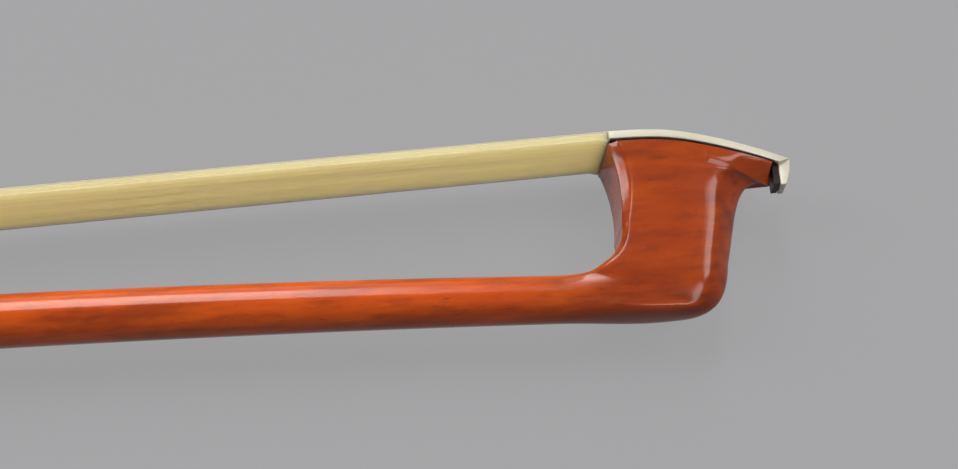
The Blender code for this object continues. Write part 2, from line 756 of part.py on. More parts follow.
def make_tip_plug(bow):
    from_x = TIP_MORTISE_FROM + 0.0015
    to_x = TIP_MORTISE_TO - FIT
    outline = [(to_x, -TIP_PLUG_DEPTH), (from_x, -TIP_PLUG_DEPTH)]
    outline += [(x, plate_outer_y(x) + TIP_PLUG_PROUD) for x in spread(from_x, to_x, 4)]
    outline = [(HEAD_X + x, HAIR_PLANE + y) for x, y in outline]
    add_object("tip_plug", side_prism(outline, TIP_MORTISE_HALF_WIDTH - FIT), "plug_wood", bow)


def make_hair(bow):
    add_object("hair", strip(hair_stations()), "horsehair", bow)
    add_object("tip_knot_thread", knot_thread(tip_knot_stations()), "thread", bow)


def sleeve(x_from, x_to, thickness, end_round):
    """A sleeve round the stick, thinned a little at both ends."""
    outer = []
    for x in stick_stations(x_from, x_to):
        at_end = x in (x_from, x_to)
        outer.append(stick_ring(x, FIT + thickness - (end_round if at_end else 0.0)))
        if x == x_from:
            outer.append(stick_ring(x + end_round * 2, FIT + thickness))
        if x == x_to:
            outer.insert(-1, stick_ring(x - end_round * 2, FIT + thickness))
    inner = [stick_ring(x, FIT) for x in stick_stations(x_from, x_to)]
    return loft(outer + inner[::-1], closed=True)


def make_grip(bow):
    leather = sleeve(LEATHER_FROM, LEATHER_TO, LEATHER_THICKNESS, 0.0003)
    add_object("thumb_leather", leather, "leather", bow, smooth=True)
    lapping = sleeve(LAPPING_FROM, LAPPING_FROM + LAPPING_LENGTH, LAPPING_THICKNESS, 0.0001)
    add_object("lapping", lapping, "silver", bow, smooth=True)


# Pieces of the frog, in the frame of its carrier: X from the heel plate, on the stick's axis

def frog_half_width(y):
    share = (y - FROG_LIP) / (HAIR_PLANE - FROG_LIP)
    return lerp(FROG_HALF_WIDTH_LIP, FROG_HALF_WIDTH_SLIDE, share)


def frog_outline():
    """Side view of the ebony: heel, lips along the stick, thumb projection, throat and slide."""
    heel_x = HEEL_PLATE_THICKNESS + FIT
    plate_y = HAIR_PLANE - HEEL_PLATE_THICKNESS - FIT
    shoulder = FERRULE_FROM - FIT
    centre_y = THUMB_Y + FROG_THROAT_RADIUS
    end_y = FERRULE_TOP_Y - THROAT_UNDER_FERRULE
    centre_x = shoulder + math.sqrt(FROG_THROAT_RADIUS ** 2 - (end_y - centre_y) ** 2)
    outline = [(heel_x, plate_y), (heel_x, FROG_LIP), (FROG_TIP - THUMB_SLOPE, FROG_LIP)]
    outline += [(FROG_TIP - 0.0006, THUMB_TIP_Y - 0.0014), (FROG_TIP, THUMB_TIP_Y - 0.0004)]
    outline += [(FROG_TIP - 0.0001, THUMB_TIP_Y + 0.0003), (FROG_TIP - 0.0006, THUMB_TIP_Y + 0.0006)]
    last = math.acos((shoulder - centre_x) / FROG_THROAT_RADIUS)
    for angle in spread(-math.pi / 2, last - 2 * math.pi, 9):
        x = centre_x + FROG_THROAT_RADIUS * math.cos(angle)
        outline.append((x, centre_y + FROG_THROAT_RADIUS * math.sin(angle)))
    outline += [(shoulder, HAIR_PLANE), (HEEL_PLATE_LENGTH + FIT, HAIR_PLANE)]
    outline.append((HEEL_PLATE_LENGTH + FIT, plate_y))
    return outline


def ferrule_outline(inset):
    """D section: flat over the hair, square sides, and a half ellipse towards the stick."""
    half = FERRULE_HALF_WIDTH - inset
    side_y = FERRULE_OUTER_Y - FERRULE_FLAT_SIDE
    rise = side_y - FERRULE_TOP_Y - inset
    outline = [(FERRULE_OUTER_Y - inset, half), (FERRULE_OUTER_Y - inset, -half)]
    for angle in spread(math.pi, 0.0, 14):
        outline.append((side_y - rise * math.sin(angle), half * math.cos(angle)))
    return outline


def make_frog_body(frog):
    body = add_object("frog_body", side_prism(frog_outline(), frog_half_width), "ebony", frog)
    tongue = ferrule_outline(FERRULE_WALL + FIT)
    tongue_tool = end_prism(tongue, FERRULE_FROM - TONGUE_ROOT, FERRULE_FROM + FERRULE_LENGTH - TONGUE_SHORT)
    boolean(body, add_object("tongue_tool", tongue_tool, None, frog), "UNION")
    far = FERRULE_FROM + FERRULE_LENGTH + CUT_OVERRUN
    seat = []
    for i in range(8):
        angle = math.pi / 4 * (i + 0.5)
        reach = octagon_reach(angle, UNDERSLIDE_OUTER + FIT)
        seat.append((reach * math.cos(angle), reach * math.sin(angle)))
    boolean(body, add_object("seat_tool", end_prism(seat, -CUT_OVERRUN, far), None, frog))
    slide_y = HAIR_PLANE - SLIDE_DEPTH
    recess = box((HEEL_PLATE_LENGTH + FIT, slide_y, -SLIDE_HALF_WIDTH),
                 (FERRULE_FROM + CUT_OVERRUN, HAIR_PLANE + CUT_OVERRUN, SLIDE_HALF_WIDTH))
    boolean(body, add_object("slide_recess_tool", recess, None, frog))
    channel = box((FROG_MORTISE_FROM, CHANNEL_FLOOR, -CHANNEL_HALF_WIDTH),
                  (far, HAIR_PLANE + CUT_OVERRUN, CHANNEL_HALF_WIDTH))
    boolean(body, add_object("channel_tool", channel, None, frog))
    flat = box((FERRULE_FROM - FIT, CHANNEL_FLOOR, -FERRULE_HALF_WIDTH),
               (far, HAIR_PLANE + CUT_OVERRUN, FERRULE_HALF_WIDTH))
    boolean(body, add_object("tongue_flat_tool", flat, None, frog))
    mortise = box((FROG_MORTISE_FROM, FROG_MORTISE_FLOOR, -CHANNEL_HALF_WIDTH),
                  (FROG_MORTISE_TO, HAIR_PLANE, CHANNEL_HALF_WIDTH))
    boolean(body, add_object("hair_mortise_tool", mortise, None, frog))
    stem = post(0.0, EYELET_STEM_TOP + FIT, EYELET_STEM_RADIUS + FIT, 16)
    hole = add_object("stem_hole_tool", stem, None, frog)
    hole.location = (EYELET_X, 0.0, 0.0)
    boolean(body, hole)
    for name, hole in pin_holes(frog):
        boolean(body, hole)
    for side, turn in eye_places():
        for part, radii in (("ring", eye_ring_radii(FIT)), ("pearl", (EYE_PEARL_RADIUS + FIT,))):
            name = "eye_" + part + "_pocket_tool_" + side
            pocket = add_object(name, eye_disc(radii, -EYE_DEPTH - FIT, CUT_OVERRUN), None, frog)
            pocket.matrix_local = turn
            boolean(body, pocket)


def eye_places():
    """Left and right eye: a frame on the frog's leaning side, with its Y axis pointing out."""
    lean = math.atan((FROG_HALF_WIDTH_SLIDE - FROG_HALF_WIDTH_LIP) / (HAIR_PLANE - FROG_LIP))
    for side, sign in (("left", 1), ("right", -1)):
        place = Matrix.Translation((EYE_X, EYE_Y, sign * frog_half_width(EYE_Y)))
        yield side, place @ Matrix.Rotation(sign * (math.pi / 2 + lean), 4, "X")


def eye_ring_radii(grow):
    return (EYE_RING_RADIUS + grow, EYE_RING_RADIUS - EYE_RING_WIDTH - grow)


def eye_disc(radii, low, high):
    """A disc along Y, or a flat ring when there are two radii."""
    if len(radii) == 1:
        return post(low, high, radii[0], 20)
    outer = post(low, high, radii[0], 20)[0]
    inner = post(low, high, radii[1], 20)[0]
    rings = [outer[:20], outer[20:], inner[20:], inner[:20]]
    return loft(rings, closed=True)


def make_eyes(frog):
    for side, turn in eye_places():
        ring = add_object("eye_ring_" + side, eye_disc(eye_ring_radii(0.0), -EYE_DEPTH, 0.0), "silver", frog)
        ring.matrix_local = turn
        pearl = eye_disc((EYE_PEARL_RADIUS,), -EYE_DEPTH, 0.0)
        disc = add_object("eye_pearl_" + side, pearl, "pearl", frog)
        disc.matrix_local = turn


def pin_places():
    """Each pin of the frog: name, radius, length, the place of its head, and the way it goes in."""
    slide_side = Matrix.Rotation(math.pi, 4, "X")
    rear_side = Matrix.Rotation(-math.pi / 2, 4, "Z")
    stick_side_y = UNDERSLIDE_INNER + FIT / 2
    for end, x in (("rear", UNDERSLIDE_PIN_REAR_X), ("front", UNDERSLIDE_PIN_FRONT_X)):
        name = "underslide_pin_" + end
        yield name, UNDERSLIDE_PIN_RADIUS, UNDERSLIDE_PIN_LENGTH, Matrix.Translation((x, stick_side_y, 0))
    for name, z in (("heel_pin_left", HEEL_PIN_SPREAD / 2), ("heel_pin_right", -HEEL_PIN_SPREAD / 2)):
        place = Matrix.Translation((HEEL_PLATE_LENGTH / 2, HAIR_PLANE, z)) @ slide_side
        yield name, HEEL_PIN_RADIUS, HEEL_PIN_LENGTH, place
    place = Matrix.Translation((0.0, (HEEL_PLATE_TOP + HAIR_PLANE) / 2, 0.0)) @ rear_side
    yield "heel_pin_back", HEEL_PIN_RADIUS, HEEL_PIN_LENGTH, place


def pin_holes(frog):
    """One cutter for each pin, shared by the plate and the ebony that it goes through."""
    for name, radius, length, place in pin_places():
        tool = bpy.data.objects.get(name + "_hole_tool")
        if tool is None:
            hole = post(-CUT_OVERRUN, length + FIT, radius + FIT, 10)
            tool = add_object(name + "_hole_tool", hole, None, frog)
            tool.matrix_local = place
        yield name, tool


def make_pins(frog):
    for name, radius, length, place in pin_places():
        pin = add_object(name, post(0.0, length, radius, 10), "silver", frog)
        pin.matrix_local = place


def make_underslide(frog):
    """Three facets of thin silver between the ebony and the stick."""
    outline = []
    for half in (UNDERSLIDE_INNER, UNDERSLIDE_OUTER):
        flat = half * math.tan(math.pi / 8)
        low_z = half * math.sqrt(2) - FROG_LIP
        side = [(FROG_LIP, -low_z), (half, -flat), (half, flat), (FROG_LIP, low_z)]
        outline += side if half == UNDERSLIDE_INNER else side[::-1]
    front = FROG_TIP - THUMB_SLOPE
    lining = end_prism(outline, HEEL_PLATE_THICKNESS + FIT, front)
    underslide = add_object("underslide", lining, "silver", frog)
    stem = post(0.0, HANDLE_FLATS, EYELET_STEM_RADIUS + FIT, 16)
    hole = add_object("underslide_hole_tool", stem, None, frog)
    hole.location = (EYELET_X, 0.0, 0.0)
    boolean(underslide, hole)
    for name, tool in pin_holes(frog):
        if name.startswith("underslide"):
            boolean(underslide, tool)


def make_heel_plate(frog):
    thick = HEEL_PLATE_THICKNESS
    outline = [(0.0, HEEL_PLATE_TOP), (thick, HEEL_PLATE_TOP), (thick, HAIR_PLANE - thick)]
    outline += [(HEEL_PLATE_LENGTH, HAIR_PLANE - thick), (HEEL_PLATE_LENGTH, HAIR_PLANE), (0.0, HAIR_PLANE)]
    plate = add_object("heel_plate", side_prism(outline, frog_half_width), "silver", frog)
    for name, tool in pin_holes(frog):
        if name.startswith("heel"):
            boolean(plate, tool)


def make_slide(frog):
    x_from = HEEL_PLATE_LENGTH + 2 * FIT
    x_to = FERRULE_FROM - FIT
    half = SLIDE_HALF_WIDTH - FIT
    pearl_low = HAIR_PLANE - PEARL_THICKNESS
    pearl = box((x_from, pearl_low, -half), (x_to, HAIR_PLANE, half))
    add_object("slide_pearl", pearl, "pearl", frog)
    ebony = box((x_from, HAIR_PLANE - SLIDE_DEPTH + FIT, -half), (x_to, pearl_low - FIT, half))
    add_object("slide_ebony", ebony, "ebony", frog)


def make_ferrule(frog):
    rings = []
    ends = (FERRULE_FROM, FERRULE_FROM + FERRULE_LENGTH)
    for inset, x in ((0.0, ends[0]), (0.0, ends[1]), (FERRULE_WALL, ends[1]), (FERRULE_WALL, ends[0])):
        rings.append([(x, y, z) for y, z in ferrule_outline(inset)])
    add_object("ferrule", loft(rings, closed=True), "silver", frog, smooth=True)
    low = (WEDGE_FROM, CHANNEL_FLOOR + FIT, -HAIR_HALF_WIDTH_FROG)
    high = (WEDGE_TO, HAIR_PLANE - HAIR_THICKNESS - FIT, HAIR_HALF_WIDTH_FROG)
    add_object("ferrule_wedge", box(low, high), "plug_wood", frog)


def make_frog_plug(frog):
    x_from = FROG_MORTISE_FROM + FIT
    x_to = FROG_MORTISE_TO - 0.0027
    low_y = FROG_MORTISE_FLOOR + 0.0037
    high_y = HAIR_PLANE - SLIDE_DEPTH - FIT
    outline = [(x_from, low_y), (x_to, low_y), (x_to + 0.0004, high_y), (x_from, high_y)]
    add_object("frog_plug", side_prism(outline, CHANNEL_HALF_WIDTH - FIT), "plug_wood", frog)
    stations = [(x - FROG_X, y, thick, wide) for x, y, thick, wide in frog_knot_stations()]
    add_object("frog_knot_thread", knot_thread(stations), "thread", frog)


def make_eyelet(frog):
    """Brass nut on the screw, with a stem that holds the frog."""
    low = (EYELET_X - EYELET_LENGTH / 2, -EYELET_BOTTOM, -EYELET_HALF_WIDTH)
    high = (EYELET_X + EYELET_LENGTH / 2, EYELET_TOP, EYELET_HALF_WIDTH)
    eyelet = add_object("eyelet", box(low, high), "brass", frog)
    column = post(EYELET_TOP - CUT_OVERRUN / 2, EYELET_STEM_TOP, EYELET_STEM_RADIUS, 16)
    stem = add_object("stem_tool", column, None, frog)
    stem.location = (EYELET_X, 0.0, 0.0)
    boolean(eyelet, stem, "UNION")
    bore = THREAD_ROOT_RADIUS + THREAD_GAP
    profile = [(low[0] - CUT_OVERRUN, bore), (high[0] + CUT_OVERRUN, bore)]
    boolean(eyelet, add_object("eyelet_bore_tool", turned(profile, THREAD_STEPS), None, frog))
    # The groove starts a whole number of turns from the screw's thread, so the two are in mesh
    offset = FROG_X + low[0] - CUT_OVERRUN - THREAD_FROM
    first = THREAD_FROM + math.floor(offset / THREAD_PITCH) * THREAD_PITCH - FROG_X
    turns = math.ceil((high[0] + CUT_OVERRUN - first) / THREAD_PITCH)
    foot, top = ridge_halves(THREAD_GAP)
    groove = helix_ridge(first, turns, bore * 0.8, THREAD_CREST_RADIUS + THREAD_GAP, foot, top)
    boolean(eyelet, add_object("eyelet_thread_tool", groove, None, frog))


# Pieces that turn with the screw

def make_screw(turning):
    thread_to = THREAD_FROM + THREAD_TURNS * THREAD_PITCH
    head = -BUTTON_REAR_FROM - SCREW_SEAT
    relief_from = THREAD_FROM - THREAD_PITCH
    relief_to = thread_to + THREAD_PITCH
    profile = [(head, SCREW_RADIUS), (relief_from, SCREW_RADIUS)]
    profile += [(relief_from, THREAD_ROOT_RADIUS), (relief_to, THREAD_ROOT_RADIUS)]
    profile += [(relief_to, SCREW_TIP_RADIUS), (SCREW_END - SCREW_POINT, SCREW_TIP_RADIUS)]
    profile.append((SCREW_END, SCREW_TIP_RADIUS * 0.6))
    screw = add_object("screw", turned(profile, THREAD_STEPS), "steel", turning, smooth=True)
    foot, top = ridge_halves()
    ridge = helix_ridge(THREAD_FROM, THREAD_TURNS, THREAD_ROOT_RADIUS * 0.8, THREAD_CREST_RADIUS, foot, top)
    boolean(screw, add_object("screw_thread_tool", ridge, None, turning), "UNION")


def button_ring(x, half_flats):
    ring = []
    for i in range(BUTTON_POINTS):
        angle = 2 * math.pi * i / BUTTON_POINTS
        reach = octagon_reach(angle, half_flats)
        ring.append((x, reach * math.cos(angle), reach * math.sin(angle)))
    return ring


def round_ring(x, radius):
    angles = [2 * math.pi * i / BUTTON_POINTS for i in range(BUTTON_POINTS)]
    return [(x, radius * math.cos(a), radius * math.sin(a)) for a in angles]


def make_button(turning):
    half = HANDLE_FLATS / 2
    bore = (SCREW_RADIUS + FIT) / math.cos(math.pi / BUTTON_POINTS)
    recess = (NIPPLE_RADIUS + SLIDE_GAP) / math.cos(math.pi / BUTTON_POINTS)
    front = -BUTTON_GAP
    back = front - BUTTON_RING_FRONT
    floor = -NIPPLE_LENGTH - BUTTON_GAP
    rings = [button_ring(front, half), button_ring(back, half), round_ring(back, bore)]
    rings += [round_ring(floor, bore), round_ring(floor, recess), round_ring(front, recess)]
    ring = add_object("button_front_ring", loft(rings, closed=True), "silver", turning)
    front = -BUTTON_CORE_FROM
    back = front - BUTTON_CORE
    waist = half - BUTTON_CORE_HOLLOW
    rings = [button_ring(front, half), button_ring(front - BUTTON_CORE_FLARE, waist)]
    rings.append(button_ring(back + BUTTON_CORE_FLARE, waist))
    rings += [button_ring(back, half), round_ring(back, bore), round_ring(front, bore)]
    add_object("button_core", loft(rings, closed=True), "ebony", turning)
    front = -BUTTON_REAR_FROM
    floor = -BUTTON_END + BUTTON_PEARL_DEPTH + FIT
    seat = BUTTON_PEARL_RADIUS + 2 * FIT
    rings = [button_ring(front, half), button_ring(-BUTTON_END + BUTTON_BEVEL, half)]
    rings += [button_ring(-BUTTON_END, half - BUTTON_BEVEL), round_ring(-BUTTON_END, seat)]
    rings += [round_ring(floor, seat), round_ring(floor, bore), round_ring(front, bore)]
    rear = add_object("button_rear_ring", loft(rings, closed=True), "silver", turning)
    pearl = loft([round_ring(-BUTTON_END + BUTTON_PEARL_DEPTH, BUTTON_PEARL_RADIUS),
                  round_ring(-BUTTON_END, BUTTON_PEARL_RADIUS)])
    add_object("button_pearl", pearl, "pearl", turning)
    places = (("button_pin_front", -BUTTON_CORE_FROM + BUTTON_PIN_INSET, ring),
              ("button_pin_rear", -BUTTON_REAR_FROM - BUTTON_PIN_INSET, rear))
    for name, x, holder in places:
        place = Matrix.Translation((x, half - BUTTON_PIN_LENGTH, 0.0))
        hole = post(-FIT, BUTTON_PIN_LENGTH + CUT_OVERRUN, BUTTON_PIN_RADIUS + FIT, 10)
        tool = add_object(name + "_hole_tool", hole, None, turning)
        tool.matrix_local = place
        boolean(holder, tool)
        pin = add_object(name, post(0.0, BUTTON_PIN_LENGTH, BUTTON_PIN_RADIUS, 10), "silver", turning)
        pin.matrix_local = place


def make_empty(name, location, parent=None):
    empty = bpy.data.objects.new(name, None)
    empty.location = location
    empty.parent = parent
    bpy.context.scene.collection.objects.link(empty)
    return empty


def main():
    for thing in list(bpy.data.objects):
        bpy.data.objects.remove(thing)
    for name in FINISHES:
        make_material(name)
    # The bow lies on its side: X and Y are centred, and the widest piece touches Z = 0
    low_y = -(HANDLE_FLATS / 2 + FIT + LEATHER_THICKNESS)
    centre_x = (HEAD_X + PLATE_LENGTH - BUTTON_END) / 2
    centre_y = (FERRULE_OUTER_Y + low_y) / 2
    bow = make_empty("bow", (-centre_x, -centre_y, FERRULE_HALF_WIDTH))
    frog = make_empty("frog_carrier", (FROG_X, 0.0, 0.0), bow)
    turning = make_empty("screw_axis", (0.0, 0.0, 0.0), bow)
    make_stick(bow)
    make_head_plate(bow)
    make_head_liner(bow)
    make_tip_plug(bow)
    make_hair(bow)
    make_grip(bow)
    make_frog_body(frog)
    make_underslide(frog)
    make_heel_plate(frog)
    make_pins(frog)
    make_slide(frog)
    make_ferrule(frog)
    make_frog_plug(frog)
    make_eyes(frog)
    make_eyelet(frog)
    make_screw(turning)
    make_button(turning)
    bpy.context.view_layer.update()


main()
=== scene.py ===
# %% [markdown]
# # Dressing a violin bow
#
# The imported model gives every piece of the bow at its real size. This lesson adds what the eye
# looks for: varnished wood with its figure, separate hairs, wound wire, leather and polished metal.
# Everything is in metres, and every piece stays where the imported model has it.

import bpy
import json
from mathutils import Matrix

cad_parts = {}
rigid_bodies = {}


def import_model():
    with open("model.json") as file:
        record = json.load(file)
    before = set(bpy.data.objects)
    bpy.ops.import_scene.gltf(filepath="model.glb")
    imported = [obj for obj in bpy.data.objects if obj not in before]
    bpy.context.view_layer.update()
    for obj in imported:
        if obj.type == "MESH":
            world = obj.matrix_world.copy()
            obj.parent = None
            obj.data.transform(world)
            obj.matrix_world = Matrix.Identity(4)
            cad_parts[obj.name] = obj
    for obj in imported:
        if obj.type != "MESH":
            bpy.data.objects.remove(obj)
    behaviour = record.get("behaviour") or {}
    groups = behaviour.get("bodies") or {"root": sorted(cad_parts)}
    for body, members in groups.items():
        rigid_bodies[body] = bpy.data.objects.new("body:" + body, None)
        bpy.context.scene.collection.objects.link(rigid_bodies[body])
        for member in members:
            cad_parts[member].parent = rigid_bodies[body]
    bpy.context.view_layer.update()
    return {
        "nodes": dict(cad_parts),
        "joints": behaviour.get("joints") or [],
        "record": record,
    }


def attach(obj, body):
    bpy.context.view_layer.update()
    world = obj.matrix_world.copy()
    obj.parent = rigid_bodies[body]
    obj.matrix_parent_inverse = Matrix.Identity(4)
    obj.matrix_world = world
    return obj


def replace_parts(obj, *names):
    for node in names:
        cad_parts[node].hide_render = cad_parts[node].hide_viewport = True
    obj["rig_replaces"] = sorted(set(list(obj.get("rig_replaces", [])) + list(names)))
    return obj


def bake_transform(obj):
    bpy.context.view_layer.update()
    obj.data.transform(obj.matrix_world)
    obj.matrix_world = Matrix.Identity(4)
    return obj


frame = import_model()

# %% Blender's modules and a few plain helpers
import json
import math
import random

import bpy
from mathutils import Matrix, Vector

MM = 0.001
nodes = frame["nodes"]
print("Packed nodes:", len(nodes))


def lerp(a, b, t):
    return a + (b - a) * t


def smooth_step(t):
    t = min(max(t, 0.0), 1.0)
    return t * t * (3 - 2 * t)


def spread(start, end, count):
    """count + 1 evenly spaced values, both ends included."""
    return [lerp(start, end, k / count) for k in range(count + 1)]


# %% [markdown]
# ## The bow's own frame
#
# A bow maker measures along the stick from the shoulder of its butt. The screw turns on that same
# axis, so the screw's joint gives the origin: X runs to the head, +Y is the side of the hair and
# the bow is alike on both sides of Z = 0. The next cell turns such measures into scene points.

# %% From the maker's measures to scene points
screw_joint = next(joint for joint in frame["joints"] if joint["name"] == "screw_turn")
BUTT = Vector(screw_joint["pos_m"])
HEAD_X = 707.5 * MM
HAIR_PLANE = 20.3 * MM


def at(x, y, z):
    return BUTT + Vector((x, y, z))


print("Shoulder of the butt:", [round(value, 5) for value in BUTT])

# %% [markdown]
# ## Camera
#
# The photograph looks down on the head of a bow that lies on its side. The straight edges of the
# hair and the stick, and the outline of the head, fix the camera: how far it is turned, tipped and
# rolled against the bow, and how far away it stands. The aim point is measured back from the rear
# edge of the head's plate.

# %% Camera at the photograph's angle
VIEW_YAW = math.radians(11.57)
VIEW_PITCH = math.radians(-25.77)
VIEW_ROLL = math.radians(10.73)
VIEW_DISTANCE = 450 * MM
AIM_BACK = 17.0 * MM
AIM_DOWN = 10.09 * MM
LENS_MM = 141.2
NEAR_LIMIT = 20 * MM

turned = Matrix.Rotation(VIEW_YAW, 3, "Y")
tipped = Matrix.Rotation(VIEW_PITCH, 3, "X") @ turned
rolled = Matrix.Rotation(VIEW_ROLL, 3, "Z") @ tipped
camera_axes = rolled.transposed()
aim = at(HEAD_X - AIM_BACK, HAIR_PLANE - AIM_DOWN, 0.0)

lens = bpy.data.cameras.new("camera")
lens.lens = LENS_MM
lens.clip_start = NEAR_LIMIT
camera = bpy.data.objects.new("camera", lens)
bpy.context.scene.collection.objects.link(camera)
camera.matrix_world = Matrix.Translation(aim + camera_axes.col[2] * VIEW_DISTANCE) @ camera_axes.to_4x4()
bpy.context.scene.camera = camera
bpy.context.scene.view_settings.view_transform = "Standard"
print("Camera at", [round(value, 4) for value in camera.matrix_world.translation])

# %% [markdown]
# ## Floor and light
#
# Varnish, pearl and silver show what they reflect, so the lamps matter as much as the colours. One
# large soft window stands behind the bow and draws the pale line along the top of the stick; a low
# one behind it shines into the hair. A window at the left catches the bevel behind the head, one at
# the right the front edge, and a smaller one in front of the head puts a sheen on its heel. Real
# hair passes more light than the material does, so one more lamp from the front lights the hair
# alone.
#
# The world is a dim even grey. Wherever floor and world are seen, straight or in a mirror, they show
# a paler tone of their own. They stay pale without more light on the bow, and the floor still takes
# the bow's shadow.

# %% A short way to make materials and add shader nodes
def new_material(name, **values):
    """A material with a Principled shader; values name its sockets, with _ for a space."""
    material = bpy.data.materials.new(name)
    material.use_nodes = True
    tree = material.node_tree
    shader = tree.nodes["Principled BSDF"]
    for label, value in values.items():
        shader.inputs[label.replace("_", " ")].default_value = value
    return material, tree, shader


def add_node(tree, kind, **settings):
    node = tree.nodes.new("ShaderNode" + kind)
    for name, value in settings.items():
        setattr(node, name, value)
    return node


def join(tree, source, target):
    tree.links.new(source, target)


def calculate(tree, operation, a, b):
    """A Math node; a and b are sockets or plain numbers."""
    node = add_node(tree, "Math", operation=operation)
    for slot, value in zip(node.inputs, (a, b)):
        if isinstance(value, (int, float)):
            slot.default_value = value
        else:
            join(tree, value, slot)
    return node.outputs[0]


def seen(tree):
    """1 for a ray that shows the background: straight from the camera, mirrored or passed through."""
    path = add_node(tree, "LightPath")
    total = path.outputs["Is Camera Ray"]
    for kind in ("Is Glossy Ray", "Is Transmission Ray"):
        total = calculate(tree, "MAXIMUM", total, path.outputs[kind])
    return total


def mix_shaders(tree, share, first, second, output):
    """The output shows first where the share is 0 and second where it is 1."""
    mixed = add_node(tree, "MixShader")
    join(tree, share, mixed.inputs["Fac"])
    join(tree, first.outputs[0], mixed.inputs[1])
    join(tree, second.outputs[0], mixed.inputs[2])
    join(tree, mixed.outputs[0], output.inputs["Surface"])


def tell(*materials):
    """Prints each finished material with the number of its shader nodes."""
    for material in materials:
        print(material.name, "has", len(material.node_tree.nodes), "shader nodes")


# %% A plain pale floor
FLOOR_SIZE = 40.0
FLOOR_DROP = 0.05 * MM
FLOOR_BASE = (0.17, 0.17, 0.18, 1.0)
FLOOR_ROUGHNESS = 0.9
FLOOR_TONE = (0.48, 0.48, 0.49, 1.0)
FLOOR_SHARE = 0.66

bpy.ops.object.select_all(action="DESELECT")
bpy.ops.mesh.primitive_plane_add(size=FLOOR_SIZE, location=(0, 0, -FLOOR_DROP))
floor = bpy.context.active_object
floor.name = "floor"
pale_floor, tree, shader = new_material("pale_floor", Base_Color=FLOOR_BASE, Roughness=FLOOR_ROUGHNESS)
floor.data.materials.append(pale_floor)
flat_tone = add_node(tree, "Emission")
flat_tone.inputs["Color"].default_value = FLOOR_TONE
tone_share = calculate(tree, "MULTIPLY", seen(tree), FLOOR_SHARE)
mix_shaders(tree, tone_share, shader, flat_tone, tree.nodes["Material Output"])
tell(pale_floor)
print("Floor:", FLOOR_SIZE, "m square,", round(1000 * FLOOR_DROP, 2), "mm below the bow")

# %% Soft lamps round the head
LAMP_DISTANCE = 2.4
LAMPS = {  # direction from the head, width, height, brightness and colour
    "window_behind": ((0.03, 0.61, 0.79), 1.6, 0.65, 8.3, (1.0, 0.98, 0.96)),
    "behind_hair": ((0.05, 0.98, 0.18), 4.2, 0.8, 1.2, (1.0, 0.97, 0.92)),
    "window_left": ((-0.78, 0.30, 0.55), 1.2, 0.9, 7.8, (1.0, 0.98, 0.97)),
    "window_right": ((0.66, 0.18, 0.73), 0.9, 0.8, 5.0, (1.0, 0.96, 0.95)),
    "sheen": ((0.40, -0.28, 0.87), 0.8, 0.9, 4.4, (1.0, 0.96, 0.95)),
    "hair_fill": ((0.10, -0.95, 0.30), 3.0, 1.2, 4.0, (1.0, 0.87, 0.66)),
}
head_centre = at(HEAD_X, 0.0, 0.0)


def soft_box(name, direction, width, height, brightness, colour):
    """A rectangular lamp that faces the head; brightness is what a mirror would show of it."""
    lamp = bpy.data.lights.new(name, "AREA")
    lamp.shape = "RECTANGLE"
    lamp.size = width
    lamp.size_y = height
    lamp.energy = brightness * math.pi * width * height
    lamp.color = colour
    box = bpy.data.objects.new(name, lamp)
    bpy.context.scene.collection.objects.link(box)
    away = Vector(direction).normalized()
    box.location = head_centre + away * LAMP_DISTANCE
    box.rotation_mode = "QUATERNION"
    box.rotation_quaternion = away.to_track_quat("Z", "X")
    return box


lamps = {name: soft_box(name, *values) for name, values in LAMPS.items()}
hair_fill = lamps["hair_fill"]
hair_fill.visible_glossy = False
lit_alone = bpy.data.collections.new("lit_by_hair_fill")
hair_fill.light_linking.receiver_collection = lit_alone
print("Lamps:", list(lamps))

# %% An even grey world
WORLD_TINT = (0.93, 0.95, 1.0, 1.0)
WORLD_STRENGTH = 0.06
WORLD_SEEN = (0.30, 0.30, 0.31, 1.0)

world = bpy.data.worlds.new("studio")
bpy.context.scene.world = world
world.use_nodes = True
tree = world.node_tree
tree.nodes.clear()
even = add_node(tree, "Background")
even.inputs["Color"].default_value = WORLD_TINT
even.inputs["Strength"].default_value = WORLD_STRENGTH
pale = add_node(tree, "Background")
pale.inputs["Color"].default_value = WORLD_SEEN
mix_shaders(tree, seen(tree), even, pale, add_node(tree, "OutputWorld"))
print("World strength:", WORLD_STRENGTH)

# %% [markdown]
# ## Effects that several finishes share
#
# A node group is a recipe with named inputs. Each one here puts out only numbers or colours that
# change over the surface, so a material can feed them to its own shader. Object coordinates are in
# metres, so a scale of 1000 makes features about a millimetre across, and a pattern is stretched
# along the bow by giving X a smaller scale than Y and Z.

# %% A short way to make node groups
def new_group(name, inputs, outputs):
    """inputs are (name, default) pairs; every output is a number unless its name is Colour."""
    group = bpy.data.node_groups.new(name, "ShaderNodeTree")
    for label, default in inputs:
        kind = "NodeSocketVector" if isinstance(default, tuple) else "NodeSocketFloat"
        socket = group.interface.new_socket(label, in_out="INPUT", socket_type=kind)
        socket.default_value = default
    for label in outputs:
        kind = "NodeSocketColor" if label == "Colour" else "NodeSocketFloat"
        group.interface.new_socket(label, in_out="OUTPUT", socket_type=kind)
    entry = group.nodes.new("NodeGroupInput")
    leave = group.nodes.new("NodeGroupOutput")
    return group, entry, leave


def window(tree, value, low, high, out_low=0.0, out_high=1.0):
    """Values from low to high become out_low to out_high, held at both ends."""
    node = add_node(tree, "MapRange")
    node.inputs["From Min"].default_value = low
    node.inputs["From Max"].default_value = high
    node.inputs["To Min"].default_value = out_low
    node.inputs["To Max"].default_value = out_high
    join(tree, value, node.inputs["Value"])
    return node.outputs["Result"]


